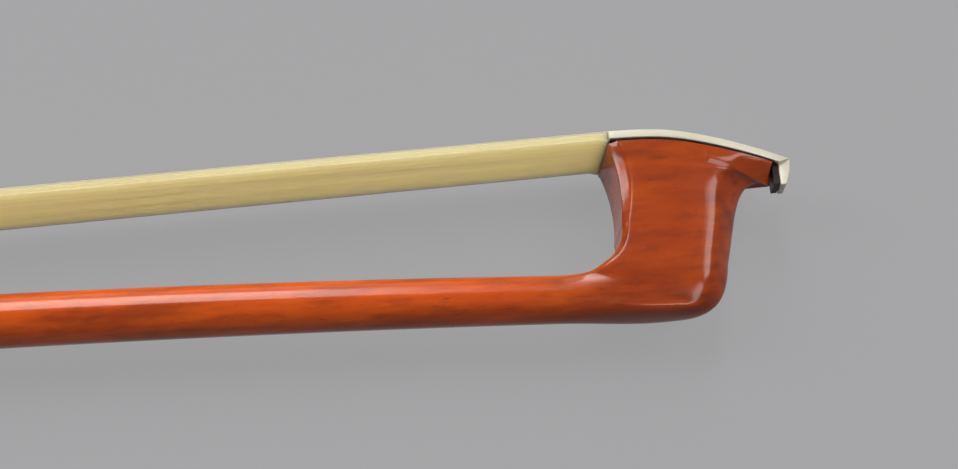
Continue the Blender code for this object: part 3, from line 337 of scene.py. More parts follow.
# %% Stretched noise: the base of grain, hair, brushing and scratches
stretch, entry, leave = new_group(
    "stretched_noise", [("Scale", (100.0, 1000.0, 1000.0)), ("Detail", 3.0), ("Shift", 0.0)], ["Value"])
place = add_node(stretch, "TexCoord")
scaled = add_node(stretch, "VectorMath", operation="MULTIPLY")
join(stretch, place.outputs["Object"], scaled.inputs[0])
join(stretch, entry.outputs["Scale"], scaled.inputs[1])
noise = add_node(stretch, "TexNoise", noise_dimensions="4D")
noise.inputs["Scale"].default_value = 1.0
join(stretch, scaled.outputs[0], noise.inputs["Vector"])
join(stretch, entry.outputs["Detail"], noise.inputs["Detail"])
join(stretch, entry.outputs["Shift"], noise.inputs["W"])
join(stretch, noise.outputs["Fac"], leave.inputs["Value"])
print(stretch.name, "has", len(stretch.nodes), "nodes")


def streaks(tree, scale, detail=3.0, shift=0.0):
    """Places the stretched noise in a material and returns its value."""
    node = add_node(tree, "Group", node_tree=stretch)
    node.inputs["Scale"].default_value = scale
    node.inputs["Detail"].default_value = detail
    node.inputs["Shift"].default_value = shift
    return node.outputs["Value"]


def pattern(tree, scale, detail, shift, low, high):
    """The stretched noise as a mask, 0 up to low and 1 from high on."""
    return window(tree, streaks(tree, scale, detail, shift), low, high)


# %% Wear: edges and corners rubbed brighter, hollows left dull
RAISED = (0.52, 0.60)
SUNK = (0.48, 0.40)
PATCH_SCALE = (900.0, 900.0, 900.0)
PATCHES = (0.35, 0.65)

wear, entry, leave = new_group("edge_wear", [("Amount", 0.5)], ["Edge", "Hollow"])
shape = add_node(wear, "NewGeometry")
raised = window(wear, shape.outputs["Pointiness"], *RAISED)
sunk = window(wear, shape.outputs["Pointiness"], *SUNK)
broken = window(wear, streaks(wear, PATCH_SCALE), *PATCHES)
edge = calculate(wear, "MULTIPLY", calculate(wear, "MULTIPLY", raised, broken), entry.outputs["Amount"])
join(wear, edge, leave.inputs["Edge"])
join(wear, calculate(wear, "MULTIPLY", sunk, entry.outputs["Amount"]), leave.inputs["Hollow"])
print("Groups:", [group.name for group in bpy.data.node_groups])


# %% Colours mixed by a mask, wear and a bump, for use in any material
def mix_colour(tree, mask, first, second, share=1.0, blend="MIX"):
    """first where the mask is 0, second where it is 1 and the share too; colours or sockets."""
    if share < 1:
        mask = calculate(tree, "MULTIPLY", mask, share)
    node = add_node(tree, "Mix", data_type="RGBA", blend_type=blend)
    for slot, value in ((node.inputs[0], mask), (node.inputs[6], first), (node.inputs[7], second)):
        if isinstance(value, tuple):
            slot.default_value = (*value, 1.0)
        elif isinstance(value, (int, float)):
            slot.default_value = value
        else:
            join(tree, value, slot)
    return node.outputs[2]


def layered(tree, colour, *layers):
    """The colour with layers laid over it, each given as its mask, its share and its own colour."""
    for mask, share, over in layers:
        colour = mix_colour(tree, mask, colour, over, share)
    return colour


def rubbed(tree, amount):
    """Places the wear in a material; its outputs are Edge and Hollow."""
    node = add_node(tree, "Group", node_tree=wear)
    node.inputs["Amount"].default_value = amount
    return node.outputs


def bump(tree, shader, height, distance, strength=1.0):
    node = add_node(tree, "Bump")
    node.inputs["Distance"].default_value = distance
    node.inputs["Strength"].default_value = strength
    join(tree, height, node.inputs["Height"])
    join(tree, node.outputs["Normal"], shader.inputs["Normal"])


# %% [markdown]
# ## Pernambuco under varnish
#
# The stick is one piece of orange-brown hardwood. Three patterns of different size make it look
# like wood and not like paint: broad warm and dark clouds, streaks that run with the grain, and
# fine dark pores. The varnish is a clear coat with its own gloss, which keeps the pale reflections
# sharp while the wood below stays warm.

# %% Pernambuco
WOOD_LIGHT = (0.860, 0.128, 0.003)
WOOD_MIDDLE = (0.630, 0.076, 0.002)
WOOD_DARK = (0.170, 0.018, 0.001)
PORE_COLOUR = (0.050, 0.010, 0.005)
# Painted shade: the wood's colour is darkened over the head, standing in for less light there than on the
# shaft.
HEAD_PAINTED_SHADE = (0.57, 0.56, 1.0)
PAINTED_SHADE_FROM_TO = (BUTT.x + HEAD_X - 18 * MM, BUTT.x + HEAD_X - 2 * MM)

pernambuco, tree, shader = new_material(
    "pernambuco", Specular_IOR_Level=0.05, Coat_Weight=0.72, Coat_Roughness=0.14, Coat_IOR=1.5)
clouds = pattern(tree, (110.0, 330.0, 330.0), 4.0, 0.0, 0.34, 0.66)
grain = pattern(tree, (70.0, 1500.0, 1500.0), 5.0, 3.0, 0.36, 0.68)
bands = pattern(tree, (60.0, 380.0, 380.0), 5.0, 21.0, 0.48, 0.68)
figure = pattern(tree, (260.0, 900.0, 900.0), 4.0, 7.0, 0.52, 0.74)
pores = pattern(tree, (900.0, 6500.0, 6500.0), 2.0, 11.0, 0.66, 0.74)
wood = layered(tree, mix_colour(tree, clouds, WOOD_MIDDLE, WOOD_LIGHT), (grain, 0.55, WOOD_MIDDLE),
               (bands, 0.55, WOOD_DARK), (figure, 0.45, WOOD_DARK), (pores, 0.6, PORE_COLOUR))
# Painted shade: the wood fades into the darker colour from 18 mm to 2 mm behind the plate's rear edge, and
# stays darker over the whole head.
along_bow = add_node(tree, "SeparateXYZ")
join(tree, add_node(tree, "TexCoord").outputs["Object"], along_bow.inputs[0])
painted_shade_share = window(tree, along_bow.outputs["X"], *PAINTED_SHADE_FROM_TO)
painted_shade_colour = mix_colour(tree, 1.0, wood, HEAD_PAINTED_SHADE, blend="MULTIPLY")
join(tree, mix_colour(tree, painted_shade_share, wood, painted_shade_colour), shader.inputs["Base Color"])
join(tree, window(tree, grain, 0.0, 1.0, 0.26, 0.36), shader.inputs["Roughness"])
height = calculate(tree, "SUBTRACT", calculate(tree, "MULTIPLY", grain, 0.35), pores)
bump(tree, shader, height, 0.015 * MM, 0.5)
tell(pernambuco)
print("Wood shaded from", [round(1000 * (x - BUTT.x), 1) for x in PAINTED_SHADE_FROM_TO], "mm on")

# %% [markdown]
# ## Bone, ebony and pearl
#
# Bone is slightly yellow and has faint lines along its length. Ebony is nearly black, and its
# polish shows the pores. Pearl changes colour from patch to patch, because it is built of thin
# layers. Each of these is one short cell.

# %% Bone for the plate on the head
BONE_PALE = (0.77, 0.75, 0.61)
BONE_LINE = (0.68, 0.64, 0.47)
BONE_STAIN = (0.56, 0.49, 0.30)
BONE_SPECK = (0.30, 0.22, 0.12)

bone, tree, shader = new_material(
    "bone", Roughness=0.34, Coat_Weight=0.25, Coat_Roughness=0.2, Subsurface_Weight=0.12,
    Subsurface_Scale=0.6 * MM)
lines = pattern(tree, (120.0, 2600.0, 2600.0), 4.0, 2.0, 0.40, 0.70)
stain = pattern(tree, (260.0, 260.0, 260.0), 3.0, 5.0, 0.50, 0.75)
specks = pattern(tree, (1500.0, 3200.0, 3200.0), 2.0, 9.0, 0.70, 0.78)
surface = layered(tree, BONE_PALE, (lines, 0.35, BONE_LINE), (stain, 0.35, BONE_STAIN),
                  (specks, 0.5, BONE_SPECK))
join(tree, surface, shader.inputs["Base Color"])
bump(tree, shader, lines, 0.008 * MM, 0.4)
tell(bone)

# %% Ebony for the liner, the frog and the button
EBONY_BLACK = (0.006, 0.005, 0.005)
EBONY_VEIN = (0.022, 0.014, 0.010)
EBONY_RUBBED = (0.060, 0.046, 0.038)

ebony, tree, shader = new_material(
    "ebony", Specular_IOR_Level=0.12, Coat_Weight=0.04, Coat_Roughness=0.2)
veins = pattern(tree, (90.0, 1400.0, 1400.0), 4.0, 4.0, 0.45, 0.75)
pores = pattern(tree, (700.0, 6000.0, 6000.0), 2.0, 6.0, 0.62, 0.72)
surface = layered(tree, EBONY_BLACK, (veins, 0.6, EBONY_VEIN), (rubbed(tree, 0.5)["Edge"], 1.0, EBONY_RUBBED))
join(tree, surface, shader.inputs["Base Color"])
join(tree, window(tree, veins, 0.0, 1.0, 0.34, 0.48), shader.inputs["Roughness"])
bump(tree, shader, calculate(tree, "MULTIPLY", pores, -1.0), 0.012 * MM, 0.5)
tell(ebony)

# %% Mother of pearl
PEARL_TINTS = ((0.30, (0.60, 0.70, 0.70)), (0.42, (0.72, 0.73, 0.68)), (0.50, (0.76, 0.67, 0.69)),
               (0.58, (0.63, 0.72, 0.68)), (0.72, (0.78, 0.78, 0.77)))

pearl, tree, shader = new_material("pearl", Roughness=0.16, Coat_Weight=0.8, Coat_Roughness=0.04)
ramp = add_node(tree, "ValToRGB")
for position, tint in PEARL_TINTS[1:-1]:
    ramp.color_ramp.elements.new(position)
for element, (position, tint) in zip(ramp.color_ramp.elements, PEARL_TINTS):
    element.position = position
    element.color = (*tint, 1.0)
join(tree, streaks(tree, (120.0, 260.0, 260.0), 2.0, 1.0), ramp.inputs["Fac"])
join(tree, ramp.outputs["Color"], shader.inputs["Base Color"])
bump(tree, shader, streaks(tree, (700.0, 1100.0, 1100.0), 2.0, 8.0), 0.02 * MM, 0.3)
tell(pearl)

# %% [markdown]
# ## Metal
#
# Silver, brass and steel share one builder. What makes metal look used is not its colour but its
# roughness: fine scratches, a haze of handling, and tarnish that stays in the hollows.


# %% Silver, brass and steel
HAZE_SHARE = 0.35
HAZE_ROUGHNESS = 0.10
SCRATCH_ROUGHNESS = 0.12
METAL_WEAR = 0.8


def metal(name, colour, tarnish, roughness, scratch_scale):
    material, tree, shader = new_material(name, Metallic=1.0)
    scratches = pattern(tree, scratch_scale, 3.0, 2.0, 0.55, 0.75)
    haze = pattern(tree, (300.0, 300.0, 300.0), 4.0, 5.0, 0.40, 0.70)
    dull = calculate(tree, "MAXIMUM", rubbed(tree, METAL_WEAR)["Hollow"],
                     calculate(tree, "MULTIPLY", haze, HAZE_SHARE))
    join(tree, mix_colour(tree, dull, colour, tarnish), shader.inputs["Base Color"])
    hazed = window(tree, haze, 0.0, 1.0, roughness, roughness + HAZE_ROUGHNESS)
    scratched = calculate(tree, "MULTIPLY", scratches, SCRATCH_ROUGHNESS)
    join(tree, calculate(tree, "ADD", hazed, scratched), shader.inputs["Roughness"])
    bump(tree, shader, scratches, 0.006 * MM, 0.3)
    return material


silver = metal("silver", (0.86, 0.85, 0.82), (0.52, 0.48, 0.42), 0.14, (220.0, 5000.0, 5000.0))
brass = metal("brass", (0.74, 0.56, 0.26), (0.40, 0.27, 0.11), 0.22, (5000.0, 900.0, 900.0))
steel = metal("steel", (0.58, 0.58, 0.59), (0.30, 0.29, 0.28), 0.24, (6000.0, 900.0, 900.0))
tell(silver, brass, steel)

# %% [markdown]
# ## Horsehair
#
# Bow hair is bleached horse tail: cream, with single hairs that are yellower or paler than their
# neighbours. Every hair that is modelled below carries a number of its own, called tone, and the
# material reads it. The tone also carries painted light: the inner face, which faces away from the
# lamps behind, takes the paler half of the tones and the played face the yellower half, and the
# tone is lowered in the grooves between hairs as painted shade. Hair lets light through, so the
# material also scatters light below its surface.

# %% Horsehair
HAIR_YELLOW = (0.86, 0.64, 0.27)
HAIR_PALE = (0.98, 0.80, 0.41)
HAIR_STREAK = (0.90, 0.70, 0.34)

horsehair, tree, shader = new_material(
    "horsehair", Roughness=0.42, Coat_Weight=0.10, Coat_Roughness=0.35, Subsurface_Weight=1.0,
    Subsurface_Scale=7.5 * MM, Subsurface_Radius=(1.0, 0.9, 0.65))
# The tone holds each hair's own tone, with painted light on the inner face and painted shade in the grooves
# between hairs.
tone = add_node(tree, "Attribute", attribute_name="tone")
between = mix_colour(tree, tone.outputs["Fac"], HAIR_YELLOW, HAIR_PALE)
streaked = pattern(tree, (35.0, 1800.0, 1800.0), 4.0, 2.0, 0.35, 0.65)
join(tree, mix_colour(tree, streaked, between, HAIR_STREAK, 0.30), shader.inputs["Base Color"])
bump(tree, shader, streaks(tree, (60.0, 9000.0, 9000.0), 2.0, 6.0), 0.03 * MM, 0.5)
tell(horsehair)

# %% [markdown]
# ## Plugs, thread and leather
#
# The plugs and the wedge are plain pale hardwood with a straight grain. The knots are bound in red
# thread. The grip is dark calfskin: cells that meet in thin dark lines give its creases, and it is
# paler and smoother where it has been handled.

# %% Plain wood and thread
PLUG_PALE = (0.66, 0.50, 0.30)
PLUG_LINE = (0.50, 0.33, 0.17)
THREAD_RED = (0.60, 0.09, 0.06)
THREAD_DARK = (0.34, 0.04, 0.04)

plug_wood, tree, shader = new_material("plug_wood", Roughness=0.55)
lines = pattern(tree, (150.0, 2200.0, 2200.0), 4.0, 1.0, 0.38, 0.68)
join(tree, mix_colour(tree, lines, PLUG_PALE, PLUG_LINE), shader.inputs["Base Color"])
bump(tree, shader, lines, 0.02 * MM, 0.4)

thread, tree, shader = new_material("thread", Roughness=0.6)
turns = streaks(tree, (6000.0, 700.0, 700.0), 2.0, 1.0)
join(tree, mix_colour(tree, turns, THREAD_RED, THREAD_DARK), shader.inputs["Base Color"])
bump(tree, shader, turns, 0.05 * MM, 0.5)
tell(plug_wood, thread)

# %% Leather
HIDE_DARK = (0.060, 0.028, 0.016)
HIDE_HANDLED = (0.120, 0.058, 0.032)
HIDE_CREASE = (0.022, 0.011, 0.007)
CREASE_CELLS = 1700.0

leather, tree, shader = new_material("leather", Coat_Weight=0.08, Coat_Roughness=0.4)
cells = add_node(tree, "TexVoronoi", feature="DISTANCE_TO_EDGE")
cells.inputs["Scale"].default_value = CREASE_CELLS
join(tree, add_node(tree, "TexCoord").outputs["Object"], cells.inputs["Vector"])
creases = window(tree, cells.outputs["Distance"], 0.0, 0.16)
handled = pattern(tree, (120.0, 240.0, 240.0), 4.0, 3.0, 0.42, 0.68)
hide = mix_colour(tree, handled, HIDE_DARK, HIDE_HANDLED)
join(tree, mix_colour(tree, creases, HIDE_CREASE, hide), shader.inputs["Base Color"])
join(tree, window(tree, handled, 0.0, 1.0, 0.60, 0.42), shader.inputs["Roughness"])
bump(tree, shader, creases, 0.06 * MM, 0.7)
tell(leather)

# %% The finishes by name, and the one that the record gives each node
finishes = {"pernambuco": pernambuco, "bone": bone, "ebony": ebony, "pearl": pearl, "silver": silver,
            "brass": brass, "steel": steel, "horsehair": horsehair, "plug_wood": plug_wood,
            "thread": thread, "leather": leather}
print("Finishes:", list(finishes))
record_slots = {row["node"]: row["material_slot"] for row in frame["record"]["subparts"]}

# %% [markdown]
# ## Finishing a piece
#
# Every new piece ends the same way: it gets its material, says which imported node it stands for,
# and which of the record's finishes it has. All but the hair also say which body they move with.

# %% Dress and register a piece
body_of_node = {node: body for body, members in frame["record"]["behaviour"]["bodies"].items()
                for node in members}


def only(thing):
    """Deselects everything and makes this the one selected, active object."""
    if bpy.context.mode != "OBJECT":
        bpy.ops.object.mode_set(mode="OBJECT")
    bpy.ops.object.select_all(action="DESELECT")
    thing.hide_set(False)
    thing.select_set(True)
    bpy.context.view_layer.objects.active = thing


def dress(thing, node, replace=True, smooth_angle=32, stretch=None):
    """Gives a new piece the finish of the node that it stands for or belongs to, and its body unless stretch
    is given.
    """
    only(thing)
    bpy.ops.object.transform_apply(location=True, rotation=True, scale=True)
    if smooth_angle:
        bpy.ops.object.shade_smooth_by_angle(angle=math.radians(smooth_angle))
    slot = record_slots[node]
    thing.data.materials.clear()
    thing.data.materials.append(finishes[slot])
    if stretch:
        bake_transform(thing)
    else:
        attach(thing, body_of_node[node])
    if replace:
        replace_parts(thing, node)
    print(thing.name, "has", len(thing.data.polygons), "faces")
    return thing


# %% A mesh from points, and a skin of faces over rings of points
def mesh_object(name, points, faces):
    mesh = bpy.data.meshes.new(name)
    mesh.from_pydata([tuple(at(*point)) for point in points], [], faces)
    thing = bpy.data.objects.new(name, mesh)
    bpy.context.scene.collection.objects.link(thing)
    only(thing)
    bpy.ops.object.mode_set(mode="EDIT")
    bpy.ops.mesh.select_all(action="SELECT")
    bpy.ops.mesh.normals_make_consistent(inside=False)
    bpy.ops.object.mode_set(mode="OBJECT")
    return thing


def skin(rings, closed=False):
    """Faces between rings of equally many points; the ends are capped, or joined to each other."""
    points = [point for ring in rings for point in ring]
    count = len(rings[0])
    faces = []
    for k in range(len(rings) if closed else len(rings) - 1):
        here = k * count
        there = (k + 1) % len(rings) * count
        for i in range(count):
            j = (i + 1) % count
            faces.append((here + i, here + j, there + j, there + i))
    if not closed:
        faces.append(tuple(range(count)))
        faces.append(tuple(range(len(points) - count, len(points))))
    return points, faces


# %% Modifiers, cuts, and two shapes to cut with
def apply_modifier(thing, kind, **settings):
    """Gives thing a modifier with these settings and applies it."""
    bpy.context.view_layer.update()
    only(thing)
    step = thing.modifiers.new(kind, kind)
    for name, value in settings.items():
        setattr(step, name, value)
    bpy.ops.object.modifier_apply(modifier=step.name)


def cut(thing, tool, operation="DIFFERENCE"):
    """Takes tool away from thing, or adds it with the operation UNION, and deletes the tool."""
    apply_modifier(thing, "BOOLEAN", operation=operation, solver="EXACT", object=tool)
    bpy.data.objects.remove(tool)


def block(low, high):
    """A box between two corners given in the bow's frame, used as a cutter."""
    bpy.ops.object.select_all(action="DESELECT")
    size = Vector(high) - Vector(low)
    bpy.ops.mesh.primitive_cube_add(size=1.0, location=at(*((Vector(low) + Vector(high)) / 2)))
    tool = bpy.context.active_object
    tool.scale = size
    bpy.ops.object.transform_apply(location=False, rotation=False, scale=True)
    return tool


def round_bar(x_from, x_to, radius, sides=32):
    """A cylinder on the screw's axis, used as a cutter."""
    bpy.ops.object.select_all(action="DESELECT")
    bpy.ops.mesh.primitive_cylinder_add(
        vertices=sides, radius=radius, depth=x_to - x_from, location=at((x_from + x_to) / 2, 0.0, 0.0),
        rotation=(0.0, math.pi / 2, 0.0))
    return bpy.context.active_object


# %% [markdown]
# ## The stick and its head
#
# The stick and head are one piece of wood. The handle is an octagon, which turns into a round shaft
# that bends towards the hair, and the head grows out of the shaft as one swept form. No primitive
# comes near that, so the shape is lofted from the maker's own measures: each section is a closed
# ring, and its points keep the same order from the butt to the tip of the head. That order is what
# lets a narrow bevel or the ridge in front run cleanly from one section to the next.

# %% Sizes of the shaft
HANDLE_FLATS = 8.6 * MM
HANDLE_LENGTH = 95 * MM
ROUND_FROM = 135 * MM
TAPER_FROM = 110 * MM
TIP_DIAMETER = 5.8 * MM
TAPER_RATE = 0.78
CAMBER_FROM = 70 * MM
CAMBER = 8.45 * MM
CAMBER_PEAK = 4 / 27
HEAD_DEPTH = 23.75 * MM
HEAD_START = 9 * MM
BACK_TO_AXIS = 3.6 * MM
TIP_AXIS_Y = HAIR_PLANE - HEAD_DEPTH + BACK_TO_AXIS
CAMBER_LENGTH = HEAD_X - HEAD_START / 2 - CAMBER_FROM
HALF_TURN = 16
print("Middle of the shaft at its end:", round(1000 * TIP_AXIS_Y, 2), "mm from the screw's axis")


# %% Bend, taper and section of the shaft
def axis_y(x):
    """Height of the stick's bent axis."""
    t = max(x - CAMBER_FROM, 0.0) / CAMBER_LENGTH
    return CAMBER / CAMBER_PEAK * (1 - t) * t * t + TIP_AXIS_Y * t ** 3


def axis_lean(x):
    """Angle of the bent axis, from the slope of axis_y."""
    t = max(x - CAMBER_FROM, 0.0) / CAMBER_LENGTH
    rise = CAMBER / CAMBER_PEAK * (2 * t - 3 * t * t) + TIP_AXIS_Y * 3 * t * t
    return math.atan(rise / CAMBER_LENGTH)


def stick_diameter(x):
    """The classic taper: slow at the handle and quicker towards the head."""
    t = max(x - TAPER_FROM, 0.0) / (HEAD_X - HEAD_START - TAPER_FROM)
    return lerp(HANDLE_FLATS, TIP_DIAMETER, math.log(1 - TAPER_RATE * t) / math.log(1 - TAPER_RATE))


def octagon_reach(angle, half_flats):
    """Distance from the axis to an octagon's edge, at an angle from the middle of a flat."""
    wrapped = (angle + math.pi / 8) % (math.pi / 4) - math.pi / 8
    return half_flats / math.cos(wrapped)


def stick_point(x, i, offset=0.0, soften=0.0):
    """A point of the shaft's section; i runs from 0 on the hair's side to 16 on the back, and on round."""
    half = stick_diameter(x) / 2 + offset
    roundness = max(smooth_step((x - HANDLE_LENGTH) / (ROUND_FROM - HANDLE_LENGTH)), soften)
    angle = math.pi * i / HALF_TURN
    reach = lerp(octagon_reach(angle, half), half, roundness)
    up = reach * math.cos(angle)
    lean = axis_lean(x)
    return Vector((x - up * math.sin(lean), axis_y(x) + up * math.cos(lean), reach * math.sin(angle)))


widths = [stick_diameter(x) for x in (0.0, HEAD_X / 2, HEAD_X - HEAD_START)]
print("Stick, mm across, at both ends and halfway:", [round(1000 * width, 2) for width in widths])

# %% Sizes of the head
HEAD_HALF_WIDTH = 4.7 * MM
THROAT_RADIUS = 5.2 * MM
THROAT_FOOT = 0.5 * MM
REAR_TOP = 0.2 * MM
REAR_HOLLOW = 0.6 * MM
HEEL_END = 7.0 * MM
HEEL_ROUND = 3.4 * MM
WAIST_X = 12.5 * MM
WAIST_HEIGHT = 6.35 * MM
HEEL_LEAD = 4.0 * MM
WAIST_LEAN = 0.7 * MM
WAIST_FLARE = 1.9 * MM
WAIST_RISE = 5.0 * MM
NOSE_HOLLOW_X = 18.6 * MM
HOLLOW_LEAD = 3.4 * MM
HOLLOW_LIFT = 0.2 * MM
NOSE_HOLLOW_DROP = 6.9 * MM
NOSE_DROP = 7.5 * MM
FACE_SETBACK = 0.3 * MM
FACE_SLOPE = 0.28
FACE_BEND = 7.0 * MM
FACE_BEND_ROUND = 4.0 * MM
PLATE_LENGTH = 22.5 * MM
PLATE_THICKNESS = 1.05 * MM
PLATE_HALF_WIDTH = 4.8 * MM
NOSE_HALF_WIDTH = 1.3 * MM
BEAK_THICKNESS = 1.6 * MM
BEAK_DROP = 8.0 * MM
BEAK_LEAN = 1.1 * MM
BEAK_TIP_THICKNESS = 0.7 * MM
BEAK_SWELL = 0.2 * MM
LINER_THICKNESS = 0.2 * MM
LINER_NOSE_THICKNESS = 0.75 * MM
LINER_OVERHANG = 0.3 * MM
FIT = 0.06 * MM
THROAT_FROM_V = 0.18
REAR_FROM_V = 0.55
HEEL_V = 0.20
WAIST_V = 0.50
NOSE_V = 0.88
UNDER_V = 0.985
FACE_TAPER = 2.6
print("Plate of the head:", round(1000 * PLATE_LENGTH, 2), "mm long")


# %% The head's face, its plate and its beak, from the side
def face_drop(x):
    """How far the head's face has fallen from the hair's plane, at x from its rear edge."""
    def fall(ahead):
        return FACE_SLOPE / 2 * (ahead + math.hypot(ahead, FACE_BEND_ROUND))
    return fall(x - FACE_BEND) - fall(-FACE_BEND)


def plate_outer_y(x):
    return -FACE_SETBACK - face_drop(x)


def plate_inner_y(x):
    return plate_outer_y(x) - PLATE_THICKNESS


def wood_top_y(x):
    return plate_inner_y(x) - LINER_THICKNESS - 2 * FIT


def face_half_width(x, rear=PLATE_HALF_WIDTH):
    share = min(max(x / PLATE_LENGTH, 0.0), 1.0)
    return lerp(rear, NOSE_HALF_WIDTH, share ** FACE_TAPER)


def beak_inner_x(y):
    """Inner side of the beak, which leans back towards its tip."""
    corner_x = PLATE_LENGTH - BEAK_THICKNESS
    tip_x = PLATE_LENGTH - BEAK_LEAN - BEAK_TIP_THICKNESS
    share = (y - plate_inner_y(corner_x)) / (-BEAK_DROP - plate_inner_y(corner_x))
    return lerp(corner_x, tip_x, share)


def nose_wood_x(y):
    return beak_inner_x(y) - LINER_NOSE_THICKNESS - 2 * FIT


print("The face falls", round(1000 * face_drop(PLATE_LENGTH), 2), "mm from its rear edge to the nose")


# %% Rear and ridge of the head, from the side
def curve_point(controls, t):
    """A point on the cubic curve through the first and last of four controls."""
    u = 1 - t
    weights = (u ** 3, 3 * u * u * t, 3 * u * t * t, t ** 3)
    return sum((w * Vector(control) for w, control in zip(weights, controls)), Vector((0.0, 0.0)))


def side_of_stick(x, side):
    """A point of the shaft's side view, measured as the head is; side is 1 towards the hair."""
    point = stick_point(x, 0 if side > 0 else HALF_TURN)
    return Vector((point.x - HEAD_X, point.y - HAIR_PLANE))


def rear_line(v):
    """Stick, the throat's quarter circle, then the slightly hollow rear face; v goes from 0 to 1."""
    start = side_of_stick(HEAD_X - HEAD_START, 1)
    foot = side_of_stick(HEAD_X - THROAT_FOOT - THROAT_RADIUS, 1)
    if v < THROAT_FROM_V:
        return start.lerp(foot, v / THROAT_FROM_V)
    if v < REAR_FROM_V:
        angle = math.pi / 2 * (v - THROAT_FROM_V) / (REAR_FROM_V - THROAT_FROM_V)
        return foot + THROAT_RADIUS * Vector((math.sin(angle), 1 - math.cos(angle)))
    t = (v - REAR_FROM_V) / (1 - REAR_FROM_V)
    low = foot + Vector((THROAT_RADIUS, THROAT_RADIUS))
    high = Vector((-REAR_TOP, wood_top_y(-REAR_TOP)))
    return low.lerp(high, t) + Vector((REAR_HOLLOW * 4 * t * (1 - t), 0.0))


def ridge_line(v):
    """Back of the head, its rounded heel, the waist, and the hollow under the nose."""
    start = side_of_stick(HEAD_X - HEAD_START, -1)
    back = Vector((HEEL_END, -HEAD_DEPTH))
    waist = Vector((WAIST_X, -HEAD_DEPTH + WAIST_HEIGHT))
    hollow = Vector((NOSE_HOLLOW_X, -NOSE_HOLLOW_DROP))
    under = Vector((nose_wood_x(-NOSE_DROP), -NOSE_DROP))
    if v < HEEL_V:
        before = start.lerp(back, 0.3)
        return curve_point((start, before, back - Vector((HEEL_LEAD, 0.0)), back), v / HEEL_V)
    if v < WAIST_V:
        turn = back + Vector((HEEL_ROUND, 0.0))
        rise = waist - Vector((WAIST_LEAN, HEEL_ROUND))
        return curve_point((back, turn, rise, waist), (v - HEEL_V) / (WAIST_V - HEEL_V))
    if v < NOSE_V:
        above = waist + Vector((WAIST_FLARE, WAIST_RISE))
        before = hollow - Vector((HOLLOW_LEAD, -HOLLOW_LIFT))
        return curve_point((waist, above, before, hollow), (v - WAIST_V) / (NOSE_V - WAIST_V))
    t = (v - NOSE_V) / (UNDER_V - NOSE_V)
    return curve_point((hollow, hollow.lerp(under, 0.4), hollow.lerp(under, 0.7), under), min(t, 1.0))


print("Waist of the head, mm:", [round(1000 * value, 2) for value in ridge_line(WAIST_V)])

# %% How the head's section changes from the stick to the face
REAR_EDGE = 4
CHEEK_START = 5
CHEEK_END = 11
REAR_FLAT = 0.84
HEEL_SQUARENESS = 0.68
SQUARE_BY_V = 0.14
FACETS_BY_V = 0.30
HEAD_SPREAD = 1.3
CHEEK_CURVE = 1.6
BACK_CURVE = 1.15
NOSE_SHARES = (0.15, 0.3, 0.45, 0.58, 0.7, 0.8, 0.88, 0.95)
KNEE_ROUND = 0.12
KNEE_LEAD = 1.5
KNEE_OVER = 3.0
KNEE_LOW = 0.02
KNEE_RISE = 0.85

# How a section changes up the head: a first value, then changes as amount, first v, length in v
BEVEL_SHARE = (0.034, (0.044, 0.45, 0.35), (-0.026, 0.85, 0.15))
CHEEK_TO = (0.80, (-0.045, 0.6, 0.2), (-0.02, 0.8, 0.18))
FRONT_WIDTH = (0.62, (0.16, 0.20, 0.2), (-0.06, 0.82, 0.16))
FRONT_SWELL = (0.22, (-0.18, 0.15, 0.3), (-0.12, 0.7, 0.28))


def planned(plan, v):
    """The value that one of the plans above gives at v, changing by smooth steps."""
    first, *changes = plan
    return first + sum(amount * smooth_step((v - start) / length) for amount, start, length in changes)


def head_profile(v, i):
    """Share of the way from rear to ridge, and share of the half width, for i from 0 to 16."""
    bevel, cheek_end = planned(BEVEL_SHARE, v), planned(CHEEK_TO, v)
    front_width, swell = planned(FRONT_WIDTH, v), planned(FRONT_SWELL, v)
    if i <= REAR_EDGE:
        return 0.0, REAR_FLAT * i / REAR_EDGE
    if i <= CHEEK_START:
        return bevel * (i - REAR_EDGE), lerp(REAR_FLAT, 1.0, i - REAR_EDGE)
    if i <= CHEEK_END:
        t = (i - CHEEK_START) / (CHEEK_END - CHEEK_START)
        return lerp(bevel, cheek_end, t), 1 - (1 - front_width) * t ** CHEEK_CURVE
    t = (i - CHEEK_END) / (HALF_TURN - CHEEK_END)
    return (lerp(cheek_end, 1.0, 1 - (1 - t) ** BACK_CURVE),
            lerp(front_width, 0.0, t) + swell * math.sin(math.pi * t))


print("Rear bevel at the stick and the face:", [round(planned(BEVEL_SHARE, v), 3) for v in (0.0, 1.0)])


# %% Sections of the head
def mirrored(maker):
    """Carries a section given for i from 0 to 16 on round the far side."""
    def point(i):
        i %= 2 * HALF_TURN
        near = maker(min(i, 2 * HALF_TURN - i))
        return near if i <= HALF_TURN else Vector((near.x, near.y, -near.z))
    return point


def head_section(v):
    """The section at v, which turns from the shaft's round into the head's facets."""
    rear, ridge = rear_line(v), ridge_line(v)
    facets = smooth_step(v / FACETS_BY_V)
    half_width = lerp(TIP_DIAMETER / 2, HEAD_HALF_WIDTH, v ** HEAD_SPREAD)
    power = 1 - HEEL_SQUARENESS * smooth_step(v / SQUARE_BY_V)

    def near(i):
        angle = math.pi * i / HALF_TURN
        round_across = math.sin(angle) if i < HALF_TURN / 2 else max(math.sin(angle), 0.0) ** power
        along, across = head_profile(v, i)
        place = rear.lerp(ridge, lerp((1 - math.cos(angle)) / 2, along, facets))
        return Vector((HEAD_X + place.x, HAIR_PLANE + place.y,
                       half_width * lerp(round_across, across, facets)))
    return mirrored(near)


print("Half width at the waist, mm:", round(1000 * head_section(WAIST_V)(CHEEK_START).z, 2))


